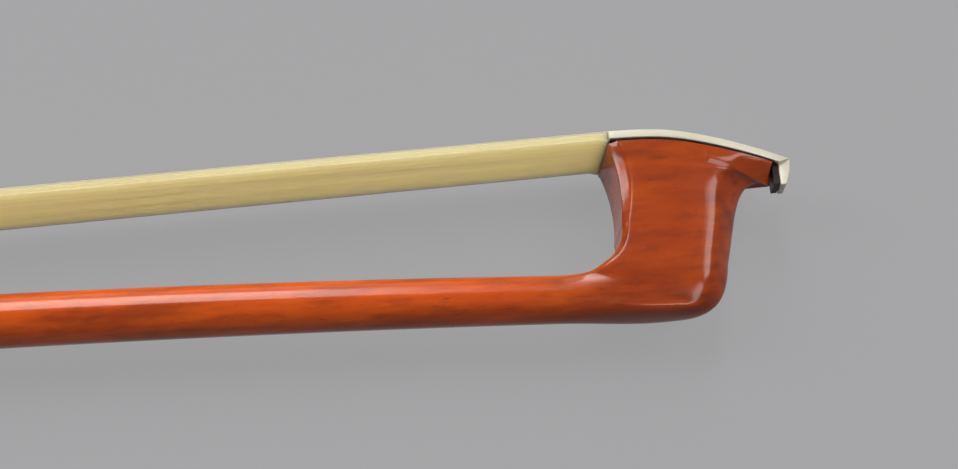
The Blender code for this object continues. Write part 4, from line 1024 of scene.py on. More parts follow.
# %% From the last section to the rim of the face
def face_rim(i):
    """The rim of the wooden face, which follows the plate's outline."""
    end_x = nose_wood_x(wood_top_y(PLATE_LENGTH - BEAK_THICKNESS))
    share = head_profile(1.0, min(i, CHEEK_END))[0]
    if i > CHEEK_END:
        share = min(lerp(share, 1.0, (i - CHEEK_END) / (HALF_TURN - 1 - CHEEK_END)), 1.0)
    x = lerp(-REAR_TOP, end_x, share)
    across = head_profile(1.0, i)[1] if i <= CHEEK_START else min(1.0, HALF_TURN - i)
    width = face_half_width(x, HEAD_HALF_WIDTH) * across
    return Vector((HEAD_X + x, HAIR_PLANE + wood_top_y(x), width))


def under_face(i, low, high, share):
    """Between the last section and the rim: the front edge runs on to the nose as a soft ridge."""
    def soft(value):
        return (value + math.hypot(value, KNEE_ROUND)) / 2
    place = low.lerp(high, share)
    ahead = min(i, 2 * HALF_TURN - i) - CHEEK_END + KNEE_LEAD
    if ahead > 0:
        knee = KNEE_LOW + KNEE_RISE * smooth_step(ahead / KNEE_OVER)
        risen = (soft(knee) - soft(knee - share)) / (soft(knee) - soft(knee - 1))
        place.z = lerp(low.z, high.z, risen)
    return place


print("Half width of the rim, mm:", round(1000 * face_rim(CHEEK_START).z, 2))

# %% Places of the points round every section
NIPPLE_RADIUS = 3.25 * MM
NIPPLE_LENGTH = 2.2 * MM
HEAD_SECTIONS = 84
SHAFT_STEPS = 90
CREASES = (2, 4, 5, 6, 10, 11, 14)
SOFT_REACH = 0.16
CREASE_REACH = 0.3
FRONT_EDGE_STEPS = (-0.8, -0.6, -0.45, 0.45, 0.6, 0.8)
FRONT_REACH = 0.75
FRONT_FROM = 8
FRONT_OVER = 2
HEAD_REACH_BY_V = 0.1

half_steps = set(spread(0.0, HALF_TURN, 32))
for crease in CREASES:
    half_steps |= {crease - CREASE_REACH, crease - SOFT_REACH, crease + SOFT_REACH, crease + CREASE_REACH}
half_steps |= {CHEEK_END + shift for shift in FRONT_EDGE_STEPS}
near_steps = sorted(half_steps)
ring_steps = near_steps + [2 * HALF_TURN - i for i in reversed(near_steps[1:-1])]
print("Points round a section:", len(ring_steps))


# %% Loft the stick
def softened(point, i, reach):
    """Rounds a section's corners by averaging each point with its neighbours."""
    near = point(i - reach / 2) + point(i + reach / 2)
    return (point(i - reach) + 2 * near + 3 * point(i) + point(i + reach)) / 9


def head_reach(i):
    """The rear bevel stays crisp, and the edge in front is rubbed round."""
    ahead = min(i, 2 * HALF_TURN - i) - FRONT_FROM
    return lerp(SOFT_REACH, FRONT_REACH, smooth_step(ahead / FRONT_OVER))


rings = []
for x in (-NIPPLE_LENGTH, 0.0):
    rings.append([Vector((x, NIPPLE_RADIUS * math.cos(math.pi * i / HALF_TURN),
                          NIPPLE_RADIUS * math.sin(math.pi * i / HALF_TURN))) for i in ring_steps])
shaft = [0.0] + spread(CAMBER_FROM, HEAD_X - HEAD_START, SHAFT_STEPS)
for x in shaft:
    rings.append([softened(lambda k: stick_point(x, k), i, SOFT_REACH) for i in ring_steps])
for v in spread(0.0, UNDER_V, HEAD_SECTIONS)[1:]:
    section = head_section(v)
    share = smooth_step(v / HEAD_REACH_BY_V)
    rings.append([softened(section, i, lerp(SOFT_REACH, head_reach(i), share)) for i in ring_steps])
rim = mirrored(face_rim)
last, rim_ring = rings[-1], [rim(i) for i in ring_steps]
for share in NOSE_SHARES:
    rings.append([under_face(i, low, high, share) for i, low, high in zip(ring_steps, last, rim_ring)])
rings.append(rim_ring)
points, faces = skin(rings)
print("Sections:", len(rings))

# %% Close the face and make the stick
# The face bends, so its cap is a row of strips across it, with one wider face at each end
faces.pop()
count = len(ring_steps)
first = len(points) - count
start = near_steps.index(CHEEK_START)
end = near_steps.index(HALF_TURN - 1.0)
faces.append(tuple(first + k % count for k in range(-start, start + 1)))
for k in range(start, end):
    faces.append((first + k, first + k + 1, first + count - k - 1, first + count - k))
faces.append(tuple(range(first + end, first + count - end + 1)))
stick = mesh_object("varnished_stick", points, faces)
print(stick.name, "has", len(stick.data.vertices), "points")

# %% Cut the stick's bore and its two mortises
SCREW_BORE = 1.75 * MM
TIP_BORE = 1.35 * MM
BORE_TO = 59 * MM
EYELET_MORTISE_FROM = 17.8 * MM
EYELET_MORTISE_TO = 33.8 * MM
EYELET_MORTISE_HALF_WIDTH = 2.2 * MM
EYELET_MORTISE_FLOOR = 2.6 * MM
TIP_MORTISE_FROM = 1.9 * MM
TIP_MORTISE_TO = 8.5 * MM
TIP_MORTISE_HALF_WIDTH = 3.5 * MM
TIP_MORTISE_DEPTH = 8.2 * MM
OVERRUN = 1 * MM


def head_mortise():
    return block((HEAD_X + TIP_MORTISE_FROM, HAIR_PLANE - TIP_MORTISE_DEPTH, -TIP_MORTISE_HALF_WIDTH),
                 (HEAD_X + TIP_MORTISE_TO, HAIR_PLANE + OVERRUN, TIP_MORTISE_HALF_WIDTH))


cut(stick, round_bar(-NIPPLE_LENGTH - OVERRUN, EYELET_MORTISE_TO + 2 * MM, SCREW_BORE))
cut(stick, round_bar(EYELET_MORTISE_TO, BORE_TO, TIP_BORE))
cut(stick, block((EYELET_MORTISE_FROM, -EYELET_MORTISE_FLOOR, -EYELET_MORTISE_HALF_WIDTH),
                 (EYELET_MORTISE_TO, HANDLE_FLATS, EYELET_MORTISE_HALF_WIDTH)))
cut(stick, head_mortise())
dress(stick, "stick", smooth_angle=28)

# %% [markdown]
# ## Plate and liner on the face of the head
#
# The pale plate is a strip of bone that runs along the face and turns down into a small beak at the
# nose. Four corners make its section, swept along the face in many short steps, and the bevel at
# the end rounds every sharp edge a little, which is what catches the light on a real plate. The
# black liner below it is cut the same way, and left sharp.

# %% Head plate
FACE_STEPS = 44
BEAK_STEPS = 12
PLATE_EDGE = 0.14 * MM


def face_ring(outer, inner, outer_half, inner_half):
    corners = ((outer, outer_half), (outer, -outer_half), (inner, -inner_half), (inner, inner_half))
    return [(HEAD_X + x, HAIR_PLANE + y, z) for (x, y), z in corners]


def bevel_edges(thing, width, segments, angle):
    """Rounds the edges that are sharper than the angle."""
    apply_modifier(thing, "BEVEL", width=width, segments=segments, limit_method="ANGLE",
                   angle_limit=math.radians(angle))


corner = PLATE_LENGTH - BEAK_THICKNESS
rings = []
for out_x, in_x in zip(spread(0.0, PLATE_LENGTH, FACE_STEPS), spread(0.0, corner, FACE_STEPS)):
    rings.append(face_ring((out_x, plate_outer_y(out_x)), (in_x, plate_inner_y(in_x)),
                           face_half_width(out_x), face_half_width(in_x)))
front = Vector((PLATE_LENGTH, plate_outer_y(PLATE_LENGTH)))
beak_tip = Vector((PLATE_LENGTH - BEAK_LEAN, -BEAK_DROP))
for share in spread(0.0, 1.0, BEAK_STEPS)[1:]:
    outer = front.lerp(beak_tip, share)
    outer.x += BEAK_SWELL * math.sin(math.pi * share)
    y = lerp(plate_inner_y(corner), -BEAK_DROP, share)
    rings.append(face_ring(outer, (beak_inner_x(y), y), NOSE_HALF_WIDTH, NOSE_HALF_WIDTH))
head_plate = mesh_object("bone_plate", *skin(rings))
cut(head_plate, head_mortise())
bevel_edges(head_plate, PLATE_EDGE, 3, 50)
dress(head_plate, "head_plate")

# %% Head liner
LINER_STEP = 0.05 * MM
LINER_FALL = 0.01 * MM
turn_x = beak_inner_x(plate_inner_y(corner)) - FIT
turn_from = turn_x - LINER_NOSE_THICKNESS
rings = []
for x in spread(0.0, turn_from, FACE_STEPS):
    top = plate_inner_y(x) - FIT
    half = face_half_width(x)
    rings.append(face_ring((x, top), (x, top - LINER_THICKNESS), half, half))
lowest = -NOSE_DROP - LINER_OVERHANG
for share in spread(0.0, 1.0, 4):
    y = lerp(plate_inner_y(turn_x) - FIT, lowest, share)
    inner_y = min(y, plate_inner_y(turn_from) - FIT - LINER_THICKNESS - LINER_STEP)
    inner = (beak_inner_x(inner_y) - FIT - LINER_NOSE_THICKNESS, inner_y - LINER_FALL * share)
    rings.append(face_ring((beak_inner_x(y) - FIT, y), inner, NOSE_HALF_WIDTH, NOSE_HALF_WIDTH))
head_liner = mesh_object("ebony_liner", *skin(rings))
cut(head_liner, head_mortise())
dress(head_liner, "head_liner")

# %% Plug that holds the hair in the head
TIP_PLUG_FROM = 3.4 * MM
TIP_PLUG_DEPTH = 4.3 * MM
TIP_PLUG_PROUD = 0.3 * MM
TIP_PLUG_EDGE = 0.09 * MM
plug_to = TIP_MORTISE_TO - FIT
side_view = [(plug_to, -TIP_PLUG_DEPTH), (TIP_PLUG_FROM, -TIP_PLUG_DEPTH)]
side_view += [(x, plate_outer_y(x) + TIP_PLUG_PROUD) for x in spread(TIP_PLUG_FROM, plug_to, 6)]
half = TIP_MORTISE_HALF_WIDTH - FIT
rings = [[(HEAD_X + x, HAIR_PLANE + y, z) for x, y in side_view] for z in (-half, half)]
tip_plug = mesh_object("wedged_plug", *skin(rings))
bevel_edges(tip_plug, TIP_PLUG_EDGE, 2, 50)
dress(tip_plug, "tip_plug")

# %% [markdown]
# ## Hair
#
# A bow holds about 150 hairs in a flat ribbon, tied at both ends. The ribbon is one closed body, so
# that light from behind shines through it as it does through real hair, and its section is a row of
# small ridges, one for each hair that shows. The ridges wander a little along the bow and each
# carries its own tone. A few loose hairs lie on top. At the head the hank passes over the rear edge
# of the plate and down into the mortise, and at the frog it goes in under the ferrule.

# %% Sizes of the frog, from its heel; the hair's route goes through it
FROG_X = 4 * MM
FROG_TIP = 43.5 * MM
FROG_LIP = 2.6 * MM
FROG_HALF_WIDTH_LIP = 4.96 * MM
FROG_HALF_WIDTH_SLIDE = 6.4 * MM
THUMB_Y = 6.2 * MM
THUMB_TIP_Y = 5.2 * MM
THUMB_SLOPE = 2.2 * MM
FROG_THROAT_RADIUS = 3.9 * MM
THROAT_UNDER_FERRULE = 0.4 * MM
HEEL_PLATE_THICKNESS = 0.7 * MM
HEEL_PLATE_LENGTH = 9.0 * MM
HEEL_PLATE_TOP = 5.5 * MM
FROG_MORTISE_FROM = 10.5 * MM
FROG_MORTISE_TO = 19.0 * MM
FROG_MORTISE_FLOOR = 10.8 * MM
CHANNEL_FLOOR = 17.2 * MM
CHANNEL_HALF_WIDTH = 4.4 * MM
FERRULE_FROM = 36.5 * MM
FERRULE_LENGTH = 11.5 * MM
FERRULE_HALF_WIDTH = 6.6 * MM
FERRULE_WALL = 0.5 * MM
FERRULE_HEIGHT = 7.4 * MM
FERRULE_FLAT_SIDE = 3.3 * MM
FERRULE_REAR = FROG_X + FERRULE_FROM
FERRULE_FRONT = FERRULE_REAR + FERRULE_LENGTH
FERRULE_OUTER_Y = HAIR_PLANE + FIT + FERRULE_WALL
FERRULE_TOP_Y = FERRULE_OUTER_Y - FERRULE_HEIGHT
TONGUE_ROOT = 6 * MM
TONGUE_SHORT = 0.2 * MM
SLIDE_HALF_WIDTH = 5.1 * MM
SLIDE_DEPTH = 2.0 * MM
PEARL_THICKNESS = 0.8 * MM
UNDERSLIDE_OUTER = HANDLE_FLATS / 2 + 0.5 * MM
EYELET_X = 22.5 * MM
EYELET_STEM_RADIUS = 1.4 * MM
EYELET_STEM_TOP = 9.0 * MM
print("Ferrule from", round(1000 * FERRULE_REAR, 2), "to", round(1000 * FERRULE_FRONT, 2), "mm")

# %% Route of the hank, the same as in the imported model
HAIR_THICKNESS = 0.9 * MM
HAIR_THICKNESS_TIP = 1.2 * MM
HAIR_HALF_WIDTH_TIP = 4.3 * MM
HAIR_HALF_WIDTH_FROG = 5.4 * MM
FREE_STEPS = 48
FREE_END = 1.2 * MM
mortise_wall = FROG_X + FROG_MORTISE_TO
mortise = HEAD_X + TIP_MORTISE_FROM

# Rows of x, y, thickness and half width in millimetres, from the place that is named below
IN_FROG_MORTISE = ((-7.8, 1.80, 2.20, 1.50), (-5.4, 1.80, 2.20, 1.50), (-3.4, 2.10, 1.80, 2.40),
                   (-1.6, 3.40, 1.20, 3.60))
IN_CHANNEL = ((-1.0, -1.00, 1.00, 4.2), (-0.8, 0.25, 0.80, 4.2), (0.3, 0.65, 0.80, 4.2),
              (2.0, 0.52, 0.85, 4.2))
IN_FERRULE = ((0.3, 0.52, 0.85, 4.2), (1.8, 1.12, 0.90, 4.7), (3.4, 2.15, 0.90, 5.2), (4.4, 2.65, 0.90, 5.4))
OVER_EDGE = ((-0.10, -0.775, 1.55, 4.3), (-0.06, -0.13, 0.30, 4.3), (0.40, -0.13, 0.20, 4.0))
INTO_HEAD = ((0.0, -0.09, 0.20, 3.4), (0.45, -0.4, 0.3, 3.3), (0.62, -1.0, 0.5, 3.2),
             (0.75, -2.0, 0.8, 3.1), (0.80, -4.2, 1.0, 2.7), (1.25, -6.2, 1.3, 2.0),
             (2.50, -6.95, 1.6, 1.5), (4.50, -6.95, 1.6, 1.4))


def hank_at(x):
    """The free ribbon: its middle, thickness and half width between the ferrule and the head."""
    t = (x - FERRULE_FRONT) / (HEAD_X - FERRULE_FRONT)
    thickness = lerp(HAIR_THICKNESS, HAIR_THICKNESS_TIP, t)
    return x, HAIR_PLANE - thickness / 2, thickness, lerp(HAIR_HALF_WIDTH_FROG, HAIR_HALF_WIDTH_TIP, t)


def route(from_x, from_y, rows):
    return [(from_x + x * MM, from_y + y * MM, thick * MM, wide * MM) for x, y, thick, wide in rows]


hank = route(mortise_wall, FROG_MORTISE_FLOOR, IN_FROG_MORTISE)
hank += route(mortise_wall, CHANNEL_FLOOR, IN_CHANNEL)
hank += route(FERRULE_REAR, CHANNEL_FLOOR, IN_FERRULE)
hank += [hank_at(x) for x in spread(FERRULE_FRONT, HEAD_X - FREE_END, FREE_STEPS)]
hank += route(HEAD_X, HAIR_PLANE, OVER_EDGE) + route(mortise, HAIR_PLANE, INTO_HEAD)
print("Places on the hank's route:", len(hank))

# %% Section of the hank: a ridge for every hair
HAIRS_ACROSS = 44
HAIRS_ON_EDGE = 5
POINTS_PER_HAIR = 4
GROOVE = 0.07 * MM
GROOVE_MOST = 0.2
# Painted shade: the share by which the tone is lowered in the grooves between hairs.
GROOVE_PAINTED_SHADE = 0.5
WANDER = 0.045 * MM
WANDER_RATE = 55.0
rng = random.Random(5)


def set_tone(thing, tones):
    thing.data.attributes.new("tone", "FLOAT", "POINT").data.foreach_set("value", tones)


section = []
for (face_t, face_z), hairs in (((1, 0), HAIRS_ACROSS), ((0, 1), HAIRS_ON_EDGE),
                                ((-1, 0), HAIRS_ACROSS), ((0, -1), HAIRS_ON_EDGE)):
    for hair in range(hairs):
        tone, phase = rng.random(), rng.uniform(0, 2 * math.pi)
        for k in range(POINTS_PER_HAIR):
            side = lerp(-1, 1, (hair + k / POINTS_PER_HAIR) / hairs)
            hollow = 1 - math.sin(math.pi * k / POINTS_PER_HAIR)
            # Painted light and shade in the tone: the inner face takes the paler half of the tones, and the
            # grooves between hairs are darkened as painted shade.
            tone_and_painted_light = (tone + (face_t < 0)) / 2 * (1 - GROOVE_PAINTED_SHADE * hollow)
            place = (face_t - face_z * side, face_z + face_t * side)
            section.append((*place, face_t, face_z, hollow, phase, tone_and_painted_light))

rings = []
for k, (x, y, thickness, half_width) in enumerate(hank):
    before, after = hank[max(k - 1, 0)], hank[min(k + 1, len(hank) - 1)]
    free = FERRULE_FRONT <= x <= mortise
    along = Vector((1, 0)) if free else Vector((after[0] - before[0], after[1] - before[1])).normalized()
    groove = min(GROOVE, thickness * GROOVE_MOST)
    ring = []
    for t, z, face_t, face_z, hollow, phase, tone_and_painted_light in section:
        up = t * thickness / 2 - face_t * hollow * groove
        wander = WANDER * math.sin(phase + x * WANDER_RATE) * (1 - z * z) * abs(face_t)
        ring.append((x - along.y * up, y + along.x * up, z * half_width - face_z * hollow * groove + wander))
    rings.append(ring)
hank_piece = mesh_object("horsehair_hank", *skin(rings))
set_tone(hank_piece, [entry[-1] for entry in section] * len(rings))
STRETCH = (at(FERRULE_FRONT, HAIR_PLANE, 0.0), at(HEAD_X, HAIR_PLANE, 0.0))
dress(hank_piece, "hair", smooth_angle=80, stretch=STRETCH)
lit_alone.objects.link(hank_piece)
print("Hairs in a section:", len(section) // POINTS_PER_HAIR)

# %% A few loose hairs on the played face
LOOSE_HAIRS = 10
LOOSE_RADIUS = 0.06 * MM
LOOSE_SIDES = 5
LOOSE_FROM = FERRULE_FRONT - 5 * MM
LOOSE_END = 1.5 * MM
LOOSE_STEPS = 16
COVERED_TO = FERRULE_FRONT + 2.6 * MM
SUNK_COVERED = 0.06 * MM
SUNK_FREE = 0.01 * MM
EDGE_LIMIT = 0.95
DRIFT = 0.25
WAVE = 0.1 * MM
WAVE_RATE = 7

loose_angles = [2 * math.pi * k / LOOSE_SIDES for k in range(LOOSE_SIDES)]
hair_points, hair_faces, tones = [], [], []
for hair in range(LOOSE_HAIRS):
    share, end_share = rng.uniform(-EDGE_LIMIT, EDGE_LIMIT), rng.uniform(-EDGE_LIMIT, EDGE_LIMIT)
    rings = []
    for x in [LOOSE_FROM] + spread(COVERED_TO, HEAD_X - LOOSE_END, LOOSE_STEPS):
        t = (x - LOOSE_FROM) / (HEAD_X - LOOSE_FROM)
        y, thickness, half_width = hank_at(x)[1:]
        y += thickness / 2 - (SUNK_COVERED if x <= COVERED_TO else SUNK_FREE)
        z = lerp(share, lerp(share, end_share, DRIFT), t) * half_width + WAVE * math.sin(WAVE_RATE * t + hair)
        rings.append([(x, y + LOOSE_RADIUS * math.cos(a), z + LOOSE_RADIUS * math.sin(a))
                      for a in loose_angles])
    points, faces = skin(rings)
    offset = len(hair_points)
    hair_points += points
    hair_faces += [tuple(offset + index for index in face) for face in faces]
    tones += [rng.random()] * len(points)
loose = mesh_object("loose_hairs", hair_points, hair_faces)
set_tone(loose, tones)
dress(loose, "hair", replace=False, smooth_angle=80, stretch=STRETCH)
lit_alone.objects.link(loose)

# %% [markdown]
# ## Grip
#
# The thumb leather is a strip of hide glued round the handle, thinner at both ends and with its
# seam out of sight on the far side. It is pulled tight over the octagon, so its corners are
# softer than the wood's. Past it the stick is wound with one long silver wire: here it is truly
# wound, as a thin tube that climbs by its own thickness in every turn.

# %% Thumb leather
LEATHER_FROM = 53 * MM
LEATHER_LENGTH = 38 * MM
LEATHER_THICKNESS = 1.0 * MM
LEATHER_EDGE = 0.35 * MM
LEATHER_TAPER = 1.6 * MM
LEATHER_SOFTNESS = 0.35
SEAM_AT = 22.5
SEAM_HALF_WIDTH = 0.35
SEAM_DEPTH = 0.3 * MM
SEAM_HIDE = 0.21 * MM
END_SHARES = (0.0, 0.04, 0.14, 0.32, 0.6, 1.0)
MIDDLE_STEPS = 24
leather_to = LEATHER_FROM + LEATHER_LENGTH
seam_steps = [SEAM_AT - SEAM_HALF_WIDTH, SEAM_AT, SEAM_AT + SEAM_HALF_WIDTH]
leather_steps = sorted(set(spread(0.0, 32.0, 64)[:-1]) | set(seam_steps))


def leather_height(x):
    """Thickness of the hide at x: full in the middle, pared down at both ends."""
    from_end = min(x - LEATHER_FROM, leather_to - x) / LEATHER_TAPER
    bulge = math.sqrt(max(1 - (1 - min(from_end, 1.0)) ** 2, 0.0))
    return lerp(LEATHER_EDGE, LEATHER_THICKNESS, bulge)


def leather_point(x, i):
    """A point of the hide's outside, with the seam's groove."""
    groove = SEAM_DEPTH * max(1 - abs(i - SEAM_AT) / SEAM_HALF_WIDTH, 0.0)
    height = max(leather_height(x) - groove, SEAM_HIDE)
    return stick_point(x, i, FIT + height, LEATHER_SOFTNESS)


ends = [LEATHER_TAPER * share for share in END_SHARES]
stations = [LEATHER_FROM + end for end in ends]
stations += spread(stations[-1], leather_to - LEATHER_TAPER, MIDDLE_STEPS)[1:]
stations += [leather_to - end for end in reversed(ends[:-1])]
rings = [[leather_point(x, i) for i in leather_steps] for x in stations]
rings += [[stick_point(x, i, FIT) for i in leather_steps] for x in (leather_to, LEATHER_FROM)]
leather_piece = mesh_object("leather_grip", *skin(rings, closed=True))
dress(leather_piece, "thumb_leather", smooth_angle=50)

# %% Wire lapping
LAPPING_GAP = 0.3 * MM
LAPPING_LENGTH = 73 * MM
WIRE_RADIUS = 0.148 * MM
WIRE_PITCH = 0.3 * MM
STEPS_PER_TURN = 32
WIRE_SIDES = 6
lapping_from = leather_to + LAPPING_GAP + WIRE_RADIUS
turns = int((LAPPING_LENGTH - 2 * WIRE_RADIUS) / WIRE_PITCH)
wire_angles = [2 * math.pi * k / WIRE_SIDES for k in range(WIRE_SIDES)]
along = Vector((WIRE_RADIUS, 0.0, 0.0))
rings = []
for step in range(turns * STEPS_PER_TURN + 1):
    x = lapping_from + WIRE_PITCH * step / STEPS_PER_TURN
    i = step % STEPS_PER_TURN * 2 * HALF_TURN / STEPS_PER_TURN
    inner = stick_point(x, i, FIT)
    outer = stick_point(x, i, FIT + 2 * WIRE_RADIUS)
    middle = (inner + outer) / 2
    across = (outer - inner).normalized() * WIRE_RADIUS
    rings.append([middle + across * math.cos(a) + along * math.sin(a) for a in wire_angles])
wire = mesh_object("wound_wire", *skin(rings))
dress(wire, "lapping", smooth_angle=80)
print("Turns of wire:", turns)

# %% [markdown]
# ## Frog
#
# The frog is a block of ebony, thinner along the stick than along the hair. Its outline is drawn
# once, in side view. Set back a little at both faces and full in between, it gives the rubbed,
# rounded edges that ebony has, and the seats of the stick, the slide, the hair and the eyes are
# then cut in the way they are chiselled on the bench.

# %% Outline of the frog
THUMB_BULGE = (0.25 * MM, -0.25 * MM)
THUMB_ROUND = ((0.0, 0.6), (-0.3, 1.05), (-0.9, 1.15))


def frog_half_width(y):
    share = (y - FROG_LIP) / (HAIR_PLANE - FROG_LIP)
    return lerp(FROG_HALF_WIDTH_LIP, FROG_HALF_WIDTH_SLIDE, share)


def frog_outline():
    """Side view of the ebony: heel, lips, thumb projection, round throat and slide."""
    heel_x = HEEL_PLATE_THICKNESS + FIT
    plate_y = HAIR_PLANE - HEEL_PLATE_THICKNESS - FIT
    shoulder = FERRULE_FROM - FIT
    centre_y = THUMB_Y + FROG_THROAT_RADIUS
    end_y = FERRULE_TOP_Y - THROAT_UNDER_FERRULE
    centre_x = shoulder + math.sqrt(FROG_THROAT_RADIUS ** 2 - (end_y - centre_y) ** 2)
    slope = Vector((FROG_TIP - THUMB_SLOPE, FROG_LIP))
    tip = Vector((FROG_TIP, THUMB_TIP_Y - 0.4 * MM))
    throat = Vector((centre_x, THUMB_Y))
    outline = [(heel_x, plate_y), (heel_x, FROG_LIP), slope]
    outline.append(slope.lerp(tip, 0.55) + Vector(THUMB_BULGE))
    controls = [tip] + [tip + Vector(step) * MM for step in THUMB_ROUND]
    outline += [curve_point(controls, t) for t in spread(0.0, 1.0, 5)]
    last = math.acos((shoulder - centre_x) / FROG_THROAT_RADIUS)
    for angle in spread(-math.pi / 2, last - 2 * math.pi, 22):
        outline.append(throat + FROG_THROAT_RADIUS * Vector((math.cos(angle), 1 + math.sin(angle))))
    outline += [(shoulder, HAIR_PLANE), (HEEL_PLATE_LENGTH + FIT, HAIR_PLANE)]
    outline.append((HEEL_PLATE_LENGTH + FIT, plate_y))
    return [Vector(point) for point in outline]


print("Points of the frog's outline:", len(frog_outline()))


# %% A slab with rounded edges, and the ferrule's section
def set_back(outline, distance):
    """The outline moved inwards by distance, along the bisector of each corner."""
    area = sum(p.cross(q) for p, q in zip(outline, outline[1:] + outline[:1]))
    inwards = 1 if area > 0 else -1
    moved = []
    for k, point in enumerate(outline):
        before = (point - outline[k - 1]).normalized()
        after = (outline[(k + 1) % len(outline)] - point).normalized()
        normal = Vector((-before.y - after.y, before.x + after.x)) * inwards
        scale = max(1 + before.dot(after), 0.5)
        moved.append(point + normal * distance / scale)
    return moved


def rounded_slab(name, outline, edge, x_offset=0.0):
    """A side view given the frog's leaning width, with both its faces rounded off at their edges."""
    steps = [(edge * (1 - math.sin(a)), edge * (1 - math.cos(a))) for a in spread(0.0, math.pi / 2, 3)]
    near = []
    for inset, depth in steps:
        around = set_back(outline, inset)
        near.append([(x_offset + p.x, p.y, frog_half_width(p.y) - depth) for p in around])
    far = [[(x, y, -z) for x, y, z in ring] for ring in reversed(near)]
    return mesh_object(name, *skin(near + far))


def favour_flats(thing):
    """Weights the shading by area, so that a flat face looks flat right up to its rounded edge."""
    apply_modifier(thing, "WEIGHTED_NORMAL", keep_sharp=True)


def d_outline(inset, corner, arc_steps=36):
    """The ferrule's section as (y, z) points: flat over the hair, half an ellipse towards the stick."""
    half = FERRULE_HALF_WIDTH - inset
    outer_y = FERRULE_OUTER_Y - inset
    side_y = FERRULE_OUTER_Y - FERRULE_FLAT_SIDE
    rise = side_y - FERRULE_TOP_Y - inset
    turn = max(corner - inset, 0.05 * MM)
    points = []
    for angle in spread(0.0, math.pi / 2, 5):
        points.append((outer_y - turn * (1 - math.sin(angle)), -half + turn * (1 - math.cos(angle))))
    points += [(y, -z) for y, z in reversed(points)]
    for angle in spread(0.0, math.pi, arc_steps):
        points.append((side_y - rise * math.sin(angle), half * math.cos(angle)))
    return points


print("Points of the ferrule's section:", len(d_outline(0.0, FERRULE_WALL)))

# %% Ebony body of the frog
FROG_EDGE = 0.3 * MM
TONGUE_CORNER = 0.6 * MM
frog = rounded_slab("ebony_frog", frog_outline(), FROG_EDGE, FROG_X)
tongue_section = d_outline(FERRULE_WALL + FIT, TONGUE_CORNER)
tongue = [[(x, y, z) for y, z in tongue_section]
          for x in (FERRULE_REAR - TONGUE_ROOT, FERRULE_FRONT - TONGUE_SHORT)]
cut(frog, mesh_object("tongue", *skin(tongue)), "UNION")

seat_half = UNDERSLIDE_OUTER + FIT
seat_reach = seat_half / math.cos(math.pi / 8)
corner_angles = [math.pi / 4 * (k + 0.5) for k in range(8)]
seat = [[(x, seat_reach * math.cos(a), seat_reach * math.sin(a)) for a in corner_angles]
        for x in (-OVERRUN, 2 * FROG_TIP)]
cut(frog, mesh_object("seat", *skin(seat)))

far_x = FERRULE_FROM + FERRULE_LENGTH + OVERRUN
high_y = HAIR_PLANE + OVERRUN
for low, high in (
        ((HEEL_PLATE_LENGTH + FIT, HAIR_PLANE - SLIDE_DEPTH, -SLIDE_HALF_WIDTH),
         (FERRULE_FROM + OVERRUN, high_y, SLIDE_HALF_WIDTH)),
        ((FROG_MORTISE_FROM, CHANNEL_FLOOR, -CHANNEL_HALF_WIDTH), (far_x, high_y, CHANNEL_HALF_WIDTH)),
        ((FERRULE_FROM - FIT, CHANNEL_FLOOR, -FERRULE_HALF_WIDTH), (far_x, high_y, FERRULE_HALF_WIDTH)),
        ((FROG_MORTISE_FROM, FROG_MORTISE_FLOOR, -CHANNEL_HALF_WIDTH),
         (FROG_MORTISE_TO, HAIR_PLANE, CHANNEL_HALF_WIDTH))):
    shift = Vector((FROG_X, 0.0, 0.0))
    cut(frog, block(Vector(low) + shift, Vector(high) + shift))


def rod(place, radius, low, high, sides=32):
    """A cylinder along the Y axis of place, a matrix in the bow's frame."""
    bpy.ops.object.select_all(action="DESELECT")
    bpy.ops.mesh.primitive_cylinder_add(vertices=sides, radius=radius, depth=high - low)
    thing = bpy.context.active_object
    upright = Matrix.Rotation(-math.pi / 2, 4, "X")
    middle = Matrix.Translation((0.0, (low + high) / 2, 0.0))
    thing.matrix_world = Matrix.Translation(BUTT) @ place @ middle @ upright
    return thing


stem_place = Matrix.Translation((FROG_X + EYELET_X, 0.0, 0.0))
cut(frog, rod(stem_place, EYELET_STEM_RADIUS + FIT, 0.0, EYELET_STEM_TOP + FIT))
print(frog.name, "has", len(frog.data.polygons), "faces before the eyes and pins")

# %% [markdown]
# ## Eyes and pins
#
# Each side of the frog has a pearl eye in a silver ring, let in flush. The pins are drawn silver
# wire, filed off level with what they hold. Their places are worked out once, used to drill the
# ebony and the plate, and used again to make the pins.

# %% Places of the eyes and pins
EYE_X = 25.0 * MM
EYE_Y = 12.5 * MM
EYE_RING_RADIUS = 3.6 * MM
EYE_RING_WIDTH = 0.5 * MM
EYE_PEARL_RADIUS = 2.2 * MM
EYE_DEPTH = 0.6 * MM
HEEL_PIN_RADIUS = 0.5 * MM
UNDERSLIDE_PIN_RADIUS = 0.4 * MM
PIN_LENGTH = 3.0 * MM
PIN_EDGE = 0.05 * MM
EYE_PEARL_EDGE = 0.06 * MM
EYE_SIDES = 72
EYE_PEARL_SIDES = 64
PIN_SIDES = 28
HEEL_PIN_SPREAD = 5.2 * MM
UNDERSLIDE_PIN_X = {"rear": 5.0 * MM, "front": 32.0 * MM}
UNDERSLIDE_INNER = HANDLE_FLATS / 2 + 0.1 * MM

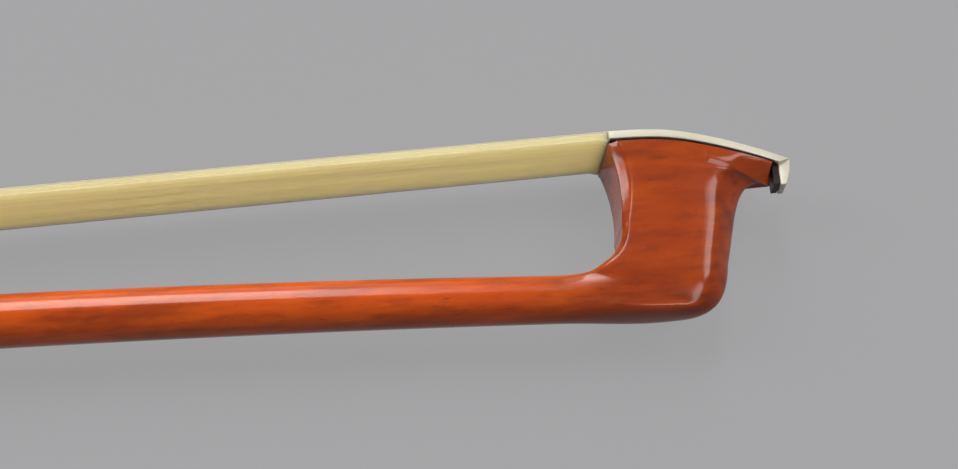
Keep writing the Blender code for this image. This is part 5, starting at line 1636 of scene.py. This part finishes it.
pins = {}
for end, x in UNDERSLIDE_PIN_X.items():
    place = Matrix.Translation((FROG_X + x, UNDERSLIDE_INNER + FIT / 2, 0.0))
    pins["underslide_pin_" + end] = (UNDERSLIDE_PIN_RADIUS, place)
for side, z in (("left", HEEL_PIN_SPREAD / 2), ("right", -HEEL_PIN_SPREAD / 2)):
    place = Matrix.Translation((FROG_X + HEEL_PLATE_LENGTH / 2, HAIR_PLANE, z))
    pins["heel_pin_" + side] = (HEEL_PIN_RADIUS, place @ Matrix.Rotation(math.pi, 4, "X"))
place = Matrix.Translation((FROG_X, (HEEL_PLATE_TOP + HAIR_PLANE) / 2, 0.0))
pins["heel_pin_back"] = (HEEL_PIN_RADIUS, place @ Matrix.Rotation(-math.pi / 2, 4, "Z"))

side_lean = math.atan((FROG_HALF_WIDTH_SLIDE - FROG_HALF_WIDTH_LIP) / (HAIR_PLANE - FROG_LIP))
eyes = {}
for side, sign in (("left", 1), ("right", -1)):
    place = Matrix.Translation((FROG_X + EYE_X, EYE_Y, sign * frog_half_width(EYE_Y)))
    eyes[side] = place @ Matrix.Rotation(sign * (math.pi / 2 + side_lean), 4, "X")
print("Places for", len(eyes), "eyes and", len(pins), "pins")


def add_disc(name, node, place, radius, low, high, edge, sides, hole=0.0):
    """A disc, or a ring when it has a hole, on the Y axis of place, with its sharp edges eased."""
    disc = rod(place, radius, low, high, sides)
    disc.name = name
    if hole:
        cut(disc, rod(place, hole, low - OVERRUN, high + OVERRUN, sides))
    bevel_edges(disc, edge, 2, 60)
    dress(disc, node)


# %% Drill and let in the eyes, then fit the pins
island_radius = EYE_RING_RADIUS - EYE_RING_WIDTH
for side, place in eyes.items():
    pocket = rod(place, EYE_RING_RADIUS + FIT, -EYE_DEPTH - FIT, OVERRUN, EYE_SIDES)
    cut(pocket, rod(place, island_radius - FIT, -EYE_DEPTH - 2 * FIT, 2 * OVERRUN, EYE_SIDES))
    cut(frog, pocket)
    cut(frog, rod(place, EYE_PEARL_RADIUS + FIT, -EYE_DEPTH - FIT, OVERRUN, EYE_PEARL_SIDES))
    add_disc("silver_eye_" + side, "eye_ring_" + side, place, EYE_RING_RADIUS, -EYE_DEPTH, 0.0, PIN_EDGE,
             EYE_SIDES, island_radius)
    add_disc("pearl_eye_" + side, "eye_pearl_" + side, place, EYE_PEARL_RADIUS, -EYE_DEPTH, 0.0,
             EYE_PEARL_EDGE, EYE_PEARL_SIDES)
for name, (radius, place) in pins.items():
    cut(frog, rod(place, radius + FIT, -OVERRUN, PIN_LENGTH + FIT, PIN_SIDES))
    add_disc("filed_" + name, name, place, radius, 0.0, PIN_LENGTH, PIN_EDGE, PIN_SIDES)
dress(frog, "frog_body", smooth_angle=35)
favour_flats(frog)

# %% Heel plate
HEEL_EDGE = 0.12 * MM
thick = HEEL_PLATE_THICKNESS
corners = ((0.0, HEEL_PLATE_TOP), (thick, HEEL_PLATE_TOP), (thick, HAIR_PLANE - thick),
           (HEEL_PLATE_LENGTH, HAIR_PLANE - thick), (HEEL_PLATE_LENGTH, HAIR_PLANE), (0.0, HAIR_PLANE))
heel_plate = rounded_slab("silver_heel", [Vector(corner) for corner in corners], HEEL_EDGE, FROG_X)
for name, (radius, place) in pins.items():
    if name.startswith("heel"):
        cut(heel_plate, rod(place, radius + FIT / 2, -OVERRUN, PIN_LENGTH, PIN_SIDES))
bevel_edges(heel_plate, PIN_EDGE, 2, 60)
dress(heel_plate, "heel_plate")
favour_flats(heel_plate)

# %% Pearl slide
SLIDE_EDGE = 0.1 * MM
half = SLIDE_HALF_WIDTH - FIT
pearl_slide = block((FROG_X + HEEL_PLATE_LENGTH + 2 * FIT, HAIR_PLANE - PEARL_THICKNESS, -half),
                    (FERRULE_REAR - FIT, HAIR_PLANE, half))
pearl_slide.name = "pearl_slide"
bevel_edges(pearl_slide, SLIDE_EDGE, 3, 60)
dress(pearl_slide, "slide_pearl")
favour_flats(pearl_slide)

# %% [markdown]
# ## Ferrule
#
# The ferrule is a D of silver, bent round a mandrel and soldered. Its rims are turned over very
# slightly by filing and polishing, so its wall is drawn as a closed path of ten points, with the
# rims rounded, and that path is swept round the D.

# %% Ferrule
RIM = 0.16 * MM
INNER_RIM = 0.6 * RIM
EASED_RIM = 0.3 * RIM
FERRULE_CORNER = 0.55 * MM
wall_path = [(FERRULE_REAR + RIM, 0.0), (FERRULE_FRONT - RIM, 0.0), (FERRULE_FRONT - EASED_RIM, EASED_RIM),
             (FERRULE_FRONT, RIM), (FERRULE_FRONT, FERRULE_WALL - INNER_RIM),
             (FERRULE_FRONT - INNER_RIM, FERRULE_WALL), (FERRULE_REAR + INNER_RIM, FERRULE_WALL),
             (FERRULE_REAR, FERRULE_WALL - INNER_RIM), (FERRULE_REAR, RIM),
             (FERRULE_REAR + EASED_RIM, EASED_RIM)]
rings = [[(x, y, z) for y, z in d_outline(inset, FERRULE_CORNER)] for x, inset in wall_path]
ferrule = mesh_object("silver_ferrule", *skin(rings, closed=True))
dress(ferrule, "ferrule")

# %% [markdown]
# ## Button
#
# The button is an ebony core between two silver caps, on the same octagon as the stick. It is
# shaped on a lathe and then filed to eight flats, so each section below is either round or
# octagonal, and each cap has a fine turned groove near both its ends.

# %% Sizes of the button, measured back from the shoulder of the butt
BUTTON_GAP = 0.1 * MM
BUTTON_RING_FRONT = 3.6 * MM
BUTTON_CORE = 6.3 * MM
BUTTON_RING_REAR = 3.0 * MM
BUTTON_CORE_FLARE = 0.8 * MM
BUTTON_CORE_HOLLOW = 0.3 * MM
BUTTON_BEVEL = 0.5 * MM
BUTTON_PEARL_RADIUS = 3.1 * MM
BUTTON_PEARL_DEPTH = 0.9 * MM
BUTTON_PIN_RADIUS = 0.4 * MM
BUTTON_PIN_LENGTH = 1.2 * MM
BUTTON_PIN_INSET = 0.7 * MM
PEARL_CROWN = 0.14 * MM
SCREW_RADIUS = 1.6 * MM
GROOVE_IN = 0.35 * MM
GROOVE_DEPTH = 0.07 * MM
EASED = 0.07 * MM
BUTTON_POINTS = 64
button_half = HANDLE_FLATS / 2
bore_radius = SCREW_RADIUS + 1.5 * FIT
nipple_seat = NIPPLE_RADIUS + 0.15 * MM
core_front = BUTTON_GAP + BUTTON_RING_FRONT + FIT
rear_front = core_front + BUTTON_CORE + FIT
button_end = rear_front + BUTTON_RING_REAR


def button_ring(back, size, octagonal):
    """A section of the button at a distance back from the shoulder."""
    ring = []
    for k in range(BUTTON_POINTS):
        angle = 2 * math.pi * k / BUTTON_POINTS
        reach = octagon_reach(angle, size) if octagonal else size
        ring.append((-back, reach * math.cos(angle), reach * math.sin(angle)))
    return ring


def octagons(start, end):
    """The outside of a silver cap between two places, with eased edges and two fine grooves."""
    stations = [(start, -EASED), (start + EASED, 0.0)]
    for middle in (start + GROOVE_IN, end - GROOVE_IN):
        stations += [(middle - GROOVE_DEPTH, 0.0), (middle, -GROOVE_DEPTH), (middle + GROOVE_DEPTH, 0.0)]
    stations += [(end - EASED, 0.0), (end, -EASED)]
    return [button_ring(back, button_half + change, True) for back, change in stations]


print("Button:", round(1000 * (button_end - BUTTON_GAP), 2), "mm long")

# %% Front cap of the button
rings = octagons(BUTTON_GAP, BUTTON_GAP + BUTTON_RING_FRONT)
floor_back = NIPPLE_LENGTH + BUTTON_GAP
for back, radius in ((BUTTON_GAP + BUTTON_RING_FRONT, bore_radius), (floor_back, bore_radius),
                     (floor_back, nipple_seat), (BUTTON_GAP, nipple_seat)):
    rings.append(button_ring(back, radius, False))
front_cap = mesh_object("silver_front_cap", *skin(rings, closed=True))
front_pin = Matrix.Translation((BUTTON_PIN_INSET - core_front, button_half, 0.0))
cut(front_cap, rod(front_pin, BUTTON_PIN_RADIUS + FIT, -BUTTON_PIN_LENGTH - FIT, OVERRUN, PIN_SIDES))
dress(front_cap, "button_front_ring", smooth_angle=25)

# %% Core of the button
waist = button_half - BUTTON_CORE_HOLLOW
core_back = core_front + BUTTON_CORE
rings = [button_ring(core_front, button_half - EASED, True),
         button_ring(core_front + EASED, button_half, True)]
for share in spread(0.0, 1.0, 6)[1:]:
    rings.append(button_ring(core_front + EASED + BUTTON_CORE_FLARE * share,
                             lerp(button_half, waist, smooth_step(share)), True))
for share in spread(1.0, 0.0, 6)[:-1]:
    rings.append(button_ring(core_back - EASED - BUTTON_CORE_FLARE * share,
                             lerp(button_half, waist, smooth_step(share)), True))
rings += [button_ring(core_back - EASED, button_half, True),
          button_ring(core_back, button_half - EASED, True)]
rings += [button_ring(core_back, bore_radius, False), button_ring(core_front, bore_radius, False)]
core = mesh_object("ebony_core", *skin(rings, closed=True))
dress(core, "button_core", smooth_angle=25)

# %% Rear cap of the button
pearl_seat = BUTTON_PEARL_RADIUS + 2 * FIT
seat_floor = button_end - BUTTON_PEARL_DEPTH - FIT
rings = octagons(rear_front, button_end - BUTTON_BEVEL)[:-1]
for share in spread(0.0, 1.0, 5):
    angle = math.pi / 2 * share
    rings.append(button_ring(button_end - BUTTON_BEVEL * (1 - math.sin(angle)),
                             button_half - BUTTON_BEVEL * (1 - math.cos(angle)), True))
for back, radius in ((button_end, pearl_seat), (seat_floor, pearl_seat), (seat_floor, bore_radius),
                     (rear_front, bore_radius)):
    rings.append(button_ring(back, radius, False))
rear_cap = mesh_object("silver_rear_cap", *skin(rings, closed=True))
rear_pin = Matrix.Translation((-BUTTON_PIN_INSET - rear_front, button_half, 0.0))
cut(rear_cap, rod(rear_pin, BUTTON_PIN_RADIUS + FIT, -BUTTON_PIN_LENGTH - FIT, OVERRUN, PIN_SIDES))
dress(rear_cap, "button_rear_ring", smooth_angle=25)

# %% Pearl in the end of the button, and the two pins of its caps
rings = [button_ring(button_end - BUTTON_PEARL_DEPTH, BUTTON_PEARL_RADIUS, False)]
for share in spread(1.0, 0.1, 7):
    sunk = PEARL_CROWN * share ** 3
    rings.append(button_ring(button_end - sunk, BUTTON_PEARL_RADIUS * share, False))
pearl_disc = mesh_object("pearl_disc", *skin(rings))
dress(pearl_disc, "button_pearl")
for name, place in (("button_pin_front", front_pin), ("button_pin_rear", rear_pin)):
    add_disc("filed_" + name, name, place, BUTTON_PIN_RADIUS, -BUTTON_PIN_LENGTH, 0.0, PIN_EDGE, PIN_SIDES)
print("Button ends", round(1000 * button_end, 2), "mm behind the shoulder")

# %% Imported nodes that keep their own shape
stood_for = {node for thing in bpy.data.objects for node in thing.get("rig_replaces", [])}
for name, node in nodes.items():
    node.data.materials.clear()
    node.data.materials.append(finishes[record_slots[name]])
print("Nodes that show their packed shape:", sorted(set(nodes) - stood_for))
